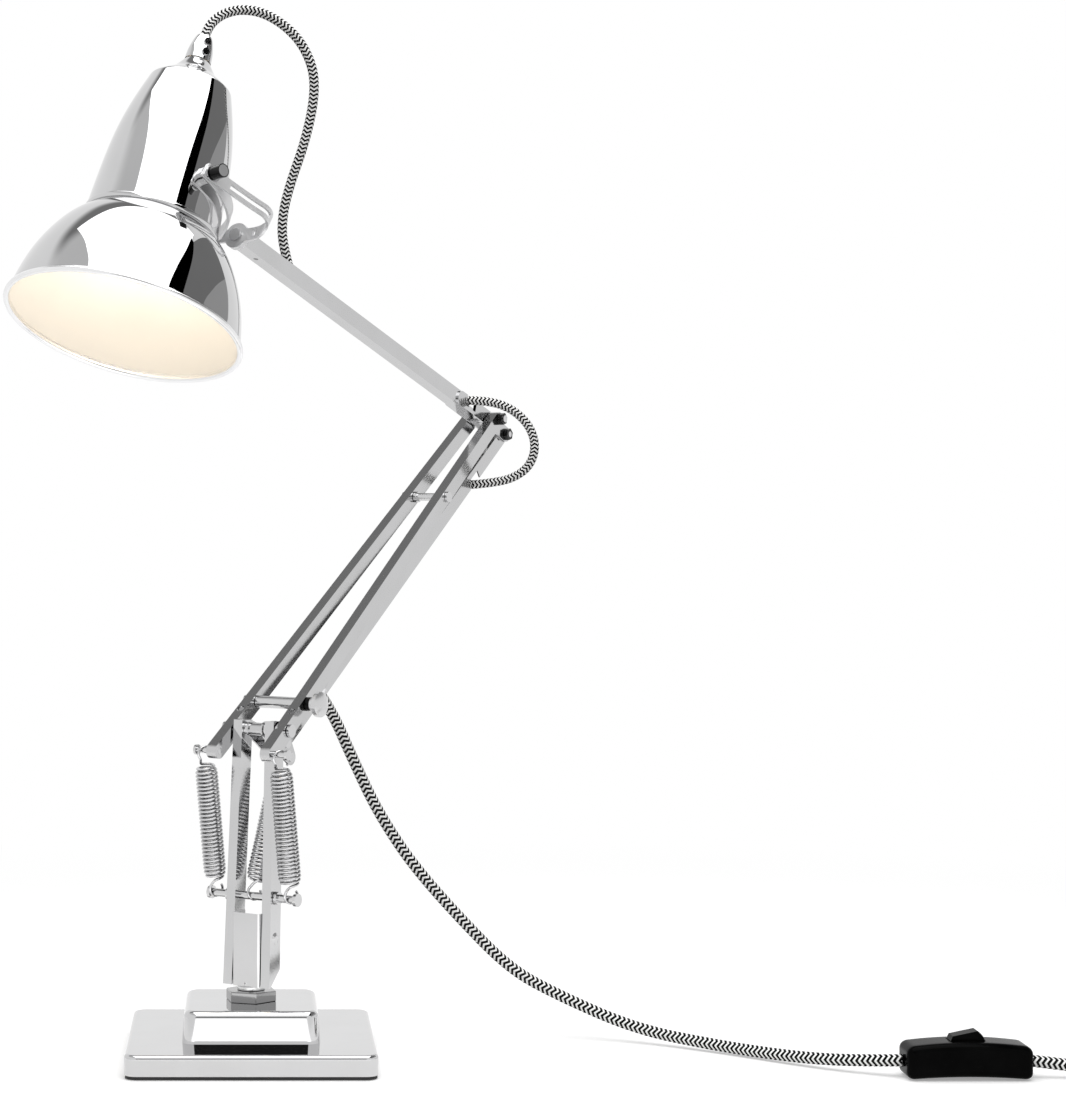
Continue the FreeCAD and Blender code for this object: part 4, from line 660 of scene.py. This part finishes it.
def enamelled(shell):
    """Enamel on the faces that look in towards the axis, and on the rolled rim a plating brighter than the
    chrome, as painted light.
    """
    shell.data.materials.append(shade_enamel)
    shell.data.materials.append(rim_plating_painted_bright)
    for face in shell.data.polygons:
        out = Vector((face.center.x, face.center.y, 0)).normalized()
        if face.center.z < 2 * RIM_RADIUS:
            face.material_index = 2
        elif face.normal.dot(out) < 0:
            face.material_index = 1


shade_chrome = plated("shade_chrome", level=0.60, polish=0.012, haze=0.02, line_depth=0)
# Painted light: the rolled rim gets a copy of the plating brighter than the shade's chrome, so it reads pale
# where little light reaches it from below.
rim_plating_painted_bright = plated("rim_plating_painted_bright", level=0.86, polish=0.16, haze=0.06, line_depth=0)
shade_enamel, tree, shader = new_finish("shade_enamel")
brushed_on = grain(tree, scale=45, detail=3)
tree.links.new(two_tones(tree, brushed_on, ENAMEL_DARK, ENAMEL_LIGHT), shader.inputs["Base Color"])
tree.links.new(spread(tree, brushed_on, NOISE_RANGE, (0.34, 0.38)), shader.inputs["Roughness"])
raised(tree, shader, grain(tree, scale=160, detail=2), strength=0.05, height=0.00002)
shader.inputs["Coat Weight"].default_value = 0.2
shader.inputs["Coat Roughness"].default_value = 0.12

roll = []
for i in range(ROLL_POINTS + 1):
    angle = math.radians(ROLL_BEGIN + ROLL_SWEEP * i / ROLL_POINTS)
    roll.append((RIM_MIDDLE + RIM_RADIUS * math.cos(angle), RIM_RADIUS + RIM_RADIUS * math.sin(angle)))
bell_line = fair_line(BELL_KNOTS)
bell_out = [spot for spot in bell_line if spot[1] > BELL_OUT_FOOT]
bell_in = [spot for spot in inner_wall(bell_line) if spot[1] > BELL_IN_FOOT]
bell_profile = roll + bell_out + bell_in[::-1]

body_line = fair_line(BODY_KNOTS)
crown_line = fair_line(CROWN_KNOTS)
body_out = [spot for spot in body_line if spot[1] > BODY_OUT_FOOT]
body_in = [spot for spot in inner_wall(body_line) if spot[1] < BODY_IN_TOP]
crown_in = inner_wall(crown_line)[1:]
body_profile = [*metres(BEAD_KNOTS), *body_out, *crown_line[1:], *crown_in[::-1], *body_in[::-1]]

cap_profile = [*fair_line(CAP_KNOTS), *metres(CAP_TOP)]

shade_place = Matrix.Translation(SHADE_MOUTH) @ arm_turn @ Matrix.Rotation(SHADE_LEAN, 4, "Y")
for node, profile, lined in (("shade_bell", bell_profile, True), ("shade_body", body_profile, True),
                             ("shade_cap", cap_profile, False)):
    shell = spun(node + "_spun", profile)
    finished(shell, node + "_spun", shade_chrome)
    if lined:
        enamelled(shell)
    shell.data.transform(shade_place)
    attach(shell, "shade")
    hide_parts(node)


# Lampholder and lamp: a pale moulded holder screwed under the crown, and a frosted glass lamp in it.
# They are hidden in the photograph, up inside the shade, and the lamp is lit.
LAMP_GLOW = 3.2
LAMP_COLOUR = (1.0, 0.90, 0.76, 1)
holder_plastic = moulded("holder_plastic", (0.70, 0.69, 0.66), roughness=0.4, bumps=700, depth=0.0001)
dress(holder_plastic, "lamp_holder")
frosted_glass, tree, shader = new_finish("frosted_glass")
frost = grain(tree, scale=1400, detail=3)
tree.links.new(two_tones(tree, frost, (0.86, 0.85, 0.81), (0.93, 0.92, 0.88)), shader.inputs["Base Color"])
tree.links.new(spread(tree, frost, NOISE_RANGE, (0.35, 0.55)), shader.inputs["Roughness"])
raised(tree, shader, frost, strength=0.2, height=0.00005)
shader.inputs["Emission Color"].default_value = LAMP_COLOUR
shader.inputs["Emission Strength"].default_value = LAMP_GLOW
dress(frosted_glass, "lamp_bulb")


# Cord: a round flex in a black and white braided cover. It comes out of the clip on the right bar, falls to
# the desk and runs to the in-line switch. Beyond it the rest is wound in a tied coil, up to the plug.
MAINS = 0.0072
DROP_ROUTE = [(0.04303, 0.02996, 0.21896), (0.05103, 0.03996, 0.20696), (0.06403, 0.04996, 0.17696),
              (0.082, 0.057, 0.139), (0.111, 0.060, 0.097), (0.146, 0.060, 0.061)]
FLOOR_ROUTE = [(0.146, 0.060, 0.061), (0.1635, 0.060, 0.043), (0.193, 0.057, 0.027), (0.241, 0.041, 0.008),
               (0.286, 0.010, 0.0039), (0.325, -0.026, 0.0042), (0.356, -0.051, 0.0066),
               (0.3845, -0.064, 0.0096)]
TAIL_ROUTE = [(0.4585, -0.064, 0.0096), (0.477, -0.0655, 0.0076), (0.499, -0.071, 0.0058),
              (0.5215, -0.0759, 0.0053), (0.5428, -0.0759, 0.0053)]
LEAD_ROUTE = [(0.5572, -0.0719, 0.0131), (0.5747, -0.0719, 0.0131), (0.5969, -0.0627, 0.0106),
              (0.6139, -0.0457, 0.0088), (0.6231, -0.0236, 0.0098), (0.6231, -0.005, 0.0117)]
COIL_MIDDLE = (0.550, -0.025)
COIL_OUTER = 0.050875
COIL_INNER = 0.031125
COIL_STEP = 0.0079
COIL_LOW = 0.0053
COIL_LAYER = 0.0078
COIL_TURNS_IN = 2.5
COIL_CLIMB = 0.5
COIL_TURNS_OUT = 2.0
COIL_POINTS = 16
BRAID_BLACK = (0.003, 0.003, 0.003)
BRAID_WHITE = (0.95, 0.95, 0.94)
BRAID_EDGE = (0.262, 0.292)
BRAID_FUZZ = 0.06
ZIGZAG_REACH = 1.2
STRAND_SHARE = 0.6


def coil_spot(turn):
    """Point of the wound cord: inwards on the desk, up in the climb, and out again on the upper layer."""
    climb = min(max((turn - COIL_TURNS_IN) / COIL_CLIMB, 0), 1)
    if turn < COIL_TURNS_IN:
        radius = COIL_OUTER - COIL_STEP * turn
    elif climb < 1:
        radius = COIL_INNER - COIL_CLIMB * COIL_STEP * (climb - climb ** 2)
    else:
        radius = COIL_INNER + COIL_STEP * (turn - COIL_TURNS_IN - COIL_CLIMB)
    radius /= math.cos(math.pi / COIL_POINTS)
    angle = 2 * math.pi * turn - math.pi / 2
    return (COIL_MIDDLE[0] + radius * math.cos(angle), COIL_MIDDLE[1] + radius * math.sin(angle),
            COIL_LOW + COIL_LAYER * (3 * climb ** 2 - 2 * climb ** 3))


def cord_line(route):
    """Points along the smooth line that a cord of this route lies on."""
    curve = bpy.data.curves.new("cord_guide", "CURVE")
    curve.dimensions = "3D"
    spline = curve.splines.new("NURBS")
    spline.points.add(len(route) - 1)
    for point, spot in zip(spline.points, route):
        point.co = (*spot, 1)
    spline.order_u = 3
    spline.use_endpoint_u = True
    spline.resolution_u = 12
    guide = placed("cord_guide", curve)
    bpy.context.view_layer.update()
    mesh = bpy.data.meshes.new_from_object(guide)
    line = [vertex.co.copy() for vertex in mesh.vertices]
    bpy.data.objects.remove(guide)
    bpy.data.meshes.remove(mesh)
    return line


def braided_tube(name, line, diameter, material, sides=24, begin=0.0):
    """Closed tube along a line, its UV map in metres along and turns around."""
    heading = (line[1] - line[0]).normalized()
    across = heading.orthogonal().normalized()
    verts, along = [], [begin]
    for i, spot in enumerate(line):
        ahead = (line[min(i + 1, len(line) - 1)] - line[max(i - 1, 0)]).normalized()
        across = heading.rotation_difference(ahead) @ across
        heading = ahead
        up = heading.cross(across)
        if i:
            along.append(along[-1] + (spot - line[i - 1]).length)
        for k in range(sides):
            turn = 2 * math.pi * k / sides
            verts.append(spot + (across * math.cos(turn) + up * math.sin(turn)) * (diameter / 2))
    faces, uvs = [], []
    for i in range(len(line) - 1):
        for k in range(sides):
            n = (k + 1) % sides
            faces.append((i * sides + k, i * sides + n, (i + 1) * sides + n, (i + 1) * sides + k))
            for row, step in ((i, k), (i, k + 1), (i + 1, k + 1), (i + 1, k)):
                uvs.append((along[row], step / sides))
    for row, ends in ((0, range(sides - 1, -1, -1)), (len(line) - 1, range(sides))):
        faces.append([row * sides + k for k in ends])
        uvs += [(along[row], k / sides) for k in ends]
    mesh = bpy.data.meshes.new(name)
    mesh.from_pydata(verts, [], faces)
    layer = mesh.uv_layers.new(name="braid")
    for corner, uv in zip(layer.data, uvs):
        corner.uv = uv
    mesh.polygons.foreach_set("use_smooth", [True] * len(mesh.polygons))
    mesh.materials.append(material)
    tube = placed(name, mesh)
    return tube


def parts_of(tree, socket):
    """The three parts of a vector."""
    node = tree.nodes.new("ShaderNodeSeparateXYZ")
    tree.links.new(socket, node.inputs[0])
    return node.outputs


def braid_cover(name, pitch, zigzags):
    """Two-colour braid: yarn rows along the cord that zigzag round it, with a little bulge in every row."""
    material, tree, shader = new_finish(name)

    def step(operation, *inputs):
        return reckoned(tree, operation, *inputs)

    uv = tree.nodes.new("ShaderNodeUVMap")
    uv.uv_map = "braid"
    along, turns = parts_of(tree, uv.outputs["UV"])[:2]
    round_it = step("MULTIPLY", turns, zigzags)
    zigzag = step("MULTIPLY", step("PINGPONG", round_it, 0.5), ZIGZAG_REACH)
    phase = step("FRACT", step("ADD", step("DIVIDE", along, pitch), zigzag))
    fuzz = step("MULTIPLY", step("SUBTRACT", grain(tree, scale=2600, detail=3), 0.5), BRAID_FUZZ)
    tooth = step("ADD", step("PINGPONG", phase, 0.5), fuzz)
    tree.links.new(two_tones(tree, tooth, BRAID_BLACK, BRAID_WHITE, BRAID_EDGE), shader.inputs["Base Color"])
    strand = step("ABSOLUTE", step("SINE", step("MULTIPLY", phase, 2 * math.pi)))
    ridge = step("ABSOLUTE", step("SINE", step("MULTIPLY", round_it, 2 * math.pi)))
    relief = step("ADD", step("MULTIPLY", strand, STRAND_SHARE), step("MULTIPLY", ridge, 1 - STRAND_SHARE))
    raised(tree, shader, relief, strength=0.4, height=0.0002)
    shader.inputs["Roughness"].default_value = 0.85
    shader.inputs["Specular IOR Level"].default_value = 0.15
    return material


mains_braid = braid_cover("mains_braid", pitch=0.0032, zigzags=4)
drop_line = cord_line(DROP_ROUTE)
mains_drop = braided_tube("mains_drop_braid", drop_line, MAINS, mains_braid)
floor_line = cord_line(FLOOR_ROUTE)
mains_floor = braided_tube("mains_floor_braid", floor_line, MAINS, mains_braid)
coil_turns = COIL_TURNS_IN + COIL_CLIMB + COIL_TURNS_OUT
coil_route = [coil_spot(i / COIL_POINTS) for i in range(int(coil_turns * COIL_POINTS) + 1)]
rest_line = cord_line(TAIL_ROUTE[:-1] + coil_route + LEAD_ROUTE[1:])
mains_rest = braided_tube("mains_rest_braid", rest_line, MAINS, mains_braid)
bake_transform(mains_drop)
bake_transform(mains_floor)
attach(mains_rest, "base")
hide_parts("mains_drop")
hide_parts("mains_floor")
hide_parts("mains_tail", "mains_coil", "plug_lead")


# Cord of the arm: a thinner flex in the same braid. It runs inside the link and the upper arm, stands out in
# a loop round the elbow, and rises from the arm's open top in a tall loop to the shade's cap.
FLEX = 0.006
ELBOW_ROUTE = [(0.14603, 0.20802, 0.40902), (0.16303, 0.20602, 0.40902), (0.18003, 0.20402, 0.40302),
               (0.19203, 0.20302, 0.39102), (0.19603, 0.20302, 0.37652), (0.19153, 0.20502, 0.36302),
               (0.18003, 0.20802, 0.35502), (0.16503, 0.21102, 0.35202), (0.15303, 0.21302, 0.35102)]
HEAD_ROUTE = [(-0.02922, 0.01311, 0.62435), (-0.02742, 0.01561, 0.63115), (-0.02252, 0.01831, 0.63805),
              (-0.01512, 0.02131, 0.64305), (-0.00452, 0.02411, 0.64545), (0.00823, 0.0267, 0.64364),
              (0.02203, 0.0291, 0.63564), (0.03293, 0.0310, 0.62384), (0.03973, 0.0330, 0.60704),
              (0.03903, 0.0340, 0.58704), (0.03303, 0.0350, 0.56204), (0.02503, 0.0360, 0.54004),
              (0.01953, 0.0360, 0.51904), (0.01953, 0.0362, 0.49954), (0.02533, 0.0366, 0.48054)]
UPPER_FLEX = [(0.14706, 0.21002, 0.40489), (0.0838, 0.11974, 0.44347), (0.02093, 0.02989, 0.48189)]
LINK_FLEX = [(0.04206, 0.06007, 0.22039), (0.0961, 0.13728, 0.28832), (0.1416, 0.2023, 0.3456),
             (0.1482, 0.2128, 0.3512), (0.15303, 0.21302, 0.35102)]

flex_braid = braid_cover("flex_braid", pitch=0.0026, zigzags=4)
for name, route, body in (("upper_flex", UPPER_FLEX, "upper_arm"), ("link_flex", LINK_FLEX, "link")):
    held = braided_tube(name + "_braid", cord_line(route), FLEX, flex_braid)
    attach(held, body)
    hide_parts(name)

elbow_line = cord_line(ELBOW_ROUTE)
elbow_loop = braided_tube("elbow_flex_braid", elbow_line, FLEX, flex_braid)
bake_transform(elbow_loop)
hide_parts("elbow_flex")


def run_length(line):
    return sum((there - here).length for here, there in zip(line, line[1:]))


head_line = cord_line(HEAD_ROUTE)[::-1]
head_half = len(head_line) // 2
head_low, head_high = head_line[:head_half + 1], head_line[head_half:]
for part, line, first, second, begin in (
        ("low", head_low, "upper_arm", "head_bracket", 0.0),
        ("high", head_high, "head_bracket", "shade", run_length(head_low))):
    head_loop = braided_tube("head_flex_braid_" + part, line, FLEX, flex_braid, begin=begin)
    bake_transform(head_loop)
    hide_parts("head_flex")


# In-line switch: a case moulded in black plastic, arched along its length, with a rocker in a well on top.
# The cord goes in at each end.
SWITCH_MIDDLE = (0.4215, -0.064)
SWITCH_LENGTH = 0.074
SWITCH_WIDTH = 0.027
SWITCH_HEIGHT = 0.022
SWITCH_ROUND = 0.0046
TOP_ARCH = 0.0026
FOOT_ARCH = 0.0016
WELL_HALF = (0.01085, 0.00535)
WELL_DEPTH = 0.007
ARCH_CUTS = [place / 1000 for place in range(-30, 31, 5)]
gloss_black = moulded("switch_plastic", (0.0006, 0.0006, 0.0006), roughness=0.16, bumps=1200, depth=0.00003)
gloss_black.node_tree.nodes["Principled BSDF"].inputs["Specular IOR Level"].default_value = 0.022
switch = block(SWITCH_LENGTH, SWITCH_WIDTH, SWITCH_HEIGHT)
edit(switch)
bpy.ops.mesh.select_all(action="SELECT")
rounded(SWITCH_ROUND, segments=6)
cuts = [((place, 0, 0), (1, 0, 0)) for place in ARCH_CUTS + [-WELL_HALF[0], WELL_HALF[0]]]
cuts += [((0, way * WELL_HALF[1], 0), (0, 1, 0)) for way in (-1, 1)]
for spot, facing in cuts:
    bpy.ops.mesh.select_all(action="SELECT")
    bpy.ops.mesh.bisect(plane_co=spot, plane_no=facing)
cage = bmesh.from_edit_mesh(switch.data)
bpy.ops.mesh.select_mode(type="FACE")
bpy.ops.mesh.select_all(action="DESELECT")
for face in cage.faces:
    middle = face.calc_center_median()
    inside = abs(middle.x) < WELL_HALF[0] and abs(middle.y) < WELL_HALF[1]
    face.select_set(inside and face.normal.z > FACING_UP)
bpy.ops.mesh.extrude_region_move(TRANSFORM_OT_translate={"value": (0, 0, -WELL_DEPTH)})
cage = bmesh.from_edit_mesh(switch.data)
half_length = SWITCH_LENGTH / 2
for vertex in cage.verts:
    out = (vertex.co.x / half_length) ** 2
    share = vertex.co.z / SWITCH_HEIGHT
    vertex.co.z -= TOP_ARCH * out * share - FOOT_ARCH * (1 - out) * (1 - share)
    vertex.co.x += SWITCH_MIDDLE[0]
    vertex.co.y += SWITCH_MIDDLE[1]
bmesh.update_edit_mesh(switch.data)
finished(switch, "switch_case", gloss_black, "base")
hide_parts("switch_body")
dress(gloss_black, "switch_rocker")


# Tie and plug: a black woven strap round the coil, and a two-pin plug moulded on the cord's end with a
# tapered sleeve. The pins are bare metal.
PIN_FOOT = 0.0571
PIN_METAL = (0.62, 0.55, 0.40)
strap, tree, shader = new_finish("tie_strap")
weave = grain(tree, scale=1500, detail=2, along=(1, 0, 0))
yarns = two_tones(tree, weave, (0.008, 0.008, 0.009), (0.022, 0.022, 0.024))
tree.links.new(yarns, shader.inputs["Base Color"])
raised(tree, shader, weave, strength=0.6, height=0.0003)
shader.inputs["Roughness"].default_value = 0.8
shader.inputs["Sheen Weight"].default_value = 0.3
dress(strap, "coil_tie")
plug_finish = moulded("plug_plastic", (0.006, 0.006, 0.006), roughness=0.3, bumps=900, depth=0.0001)
tree = plug_finish.node_tree
bare = reckoned(tree, "GREATER_THAN", parts_of(tree, spot_on(tree))["Y"], PIN_FOOT)
tinted(plug_finish, bare, PIN_METAL)
tree.links.new(bare, tree.nodes["Principled BSDF"].inputs["Metallic"])
dress(plug_finish, "mains_plug")


# The studio: white paper under the lamp and white walls that the metal mirrors, one broad soft lamp overhead
# in a ceiling that darkens to the back, and cards that only reflections see: three on the right, one in front
# and a bright one on the desk.
OPEN_LIGHT = 0.6
CEILING_BACK = 0.24
CEILING_FRONT = 0.72
PAPER_GLOW = 0.3
CEILING_EDGES = (0.66, 0.78)
FALL_EDGES = (0.16, 0.40)
PAPER_MIDDLE = (0.2, -2.0, 0)
PAPER_EDGES = (0.45, 1.1)
world = bpy.data.worlds.new("studio")
bpy.context.scene.world = world
world.use_nodes = True
air = world.node_tree
sky = air.nodes["Background"]
sky.inputs["Color"].default_value = (1, 1, 1, 1)


def sum_of(tree, *terms):
    """Sum of (socket, factor) terms."""
    total = 0
    for socket, factor in terms:
        total = reckoned(tree, "MULTIPLY_ADD", socket, factor, total)
    return total


rays = air.nodes.new("ShaderNodeLightPath").outputs
way = parts_of(air, air.nodes.new("ShaderNodeTexCoord").outputs["Generated"])
overhead = spread(air, way["Z"], CEILING_EDGES, (0.0, 1.0), "SMOOTHSTEP")
fall = spread(air, way["Y"], FALL_EDGES, (CEILING_FRONT - 1.0, CEILING_BACK - 1.0), "SMOOTHSTEP")
mirrored = sum_of(air, (overhead, fall), (rays["Is Glossy Ray"], 1.0 - OPEN_LIGHT))
seen = sum_of(air, (rays["Is Camera Ray"], 1.0 - OPEN_LIGHT), (rays["Is Transmission Ray"], 1.0 - OPEN_LIGHT),
              (rays["Is Glossy Ray"], mirrored))
air.links.new(reckoned(air, "ADD", seen, OPEN_LIGHT), sky.inputs["Strength"])

bpy.ops.mesh.primitive_plane_add(size=14, location=(0, 2, -0.0004))
floor = bpy.context.object
floor.name = "floor"
paper, tree, shader = new_finish("floor_paper")
shader.inputs["Base Color"].default_value = (0.8, 0.8, 0.8, 1)
shader.inputs["Roughness"].default_value = 1.0
shader.inputs["Specular IOR Level"].default_value = 0.0
shader.inputs["Emission Color"].default_value = (1, 1, 1, 1)
rays = tree.nodes.new("ShaderNodeLightPath").outputs
plain_rays = [rays[kind] for kind in ("Is Camera Ray", "Is Glossy Ray", "Is Transmission Ray")]
glow = sum_of(tree, *((ray, PAPER_GLOW) for ray in plain_rays))
tree.links.new(glow, shader.inputs["Emission Strength"])
plain = tree.nodes.new("ShaderNodeEmission")
bright = sum_of(tree, *((ray, 1.0) for ray in plain_rays))
tree.links.new(bright, plain.inputs["Strength"])
reach = vector(tree, "DISTANCE", spot_on(tree), PAPER_MIDDLE)
far_out = spread(tree, reach, PAPER_EDGES, (0.0, 1.0), "SMOOTHSTEP")
blended = tree.nodes.new("ShaderNodeMixShader")
tree.links.new(far_out, blended.inputs[0])
tree.links.new(shader.outputs[0], blended.inputs[1])
tree.links.new(plain.outputs[0], blended.inputs[2])
tree.links.new(blended.outputs[0], tree.nodes["Material Output"].inputs["Surface"])
floor.data.materials.append(paper)

lamp = bpy.data.lights.new("overhead_lamp", "AREA")
lamp.shape = "RECTANGLE"
lamp.size = 1.36
lamp.size_y = 1.6
lamp.energy = 14.5
lamp_object = placed("overhead_lamp", lamp)
lamp_object.location = (0.19, -0.33, 1.42)
lamp_object.rotation_euler = (0, 0, math.radians(9))
lamp_object.visible_camera = False


def card(name, corners, level):
    """Flat card that only reflections see, at an even brightness."""
    mesh = bpy.data.meshes.new(name)
    mesh.from_pydata(corners, [], [range(len(corners))])
    board = placed(name, mesh)
    material, tree, shader = new_finish(name)
    shader.inputs["Base Color"].default_value = (0, 0, 0, 1)
    shader.inputs["Specular IOR Level"].default_value = 0.0
    shader.inputs["Emission Color"].default_value = (1, 1, 1, 1)
    shader.inputs["Emission Strength"].default_value = level
    mesh.materials.append(material)
    board.visible_camera = False
    board.visible_diffuse = False
    board.visible_transmission = False
    board.visible_shadow = False


card("black_card", [(0.73, 0.42, 1.41), (0.80, 0.42, 1.41), (1.45, -1.0, 1.22), (0.99, -1.2, 1.41)],
     level=0.0)
card("grey_card", [(0.80, 0.42, 1.41), (0.90, 1.3, 1.41), (1.30, 1.3, 1.10), (1.56, -1.0, 1.05),
                   (1.45, -1.0, 1.22)], level=0.22)
card("pale_card", [(1.30, 1.3, 1.10), (1.7, 1.3, 0.80), (1.7, -1.0, 0.80), (1.56, -1.0, 1.05)], level=0.42)
card("front_card", [(-0.4, -1.25, 0.28), (0.4, -1.25, 0.28), (0.4, -1.25, 0.60), (-0.4, -1.25, 0.60)],
     level=0.02)
card("desk_shine", [(-0.3, -0.85, 0.0005), (0.3, -0.85, 0.0005), (0.3, -0.20, 0.0005), (-0.3, -0.20, 0.0005)],
     level=1.9)
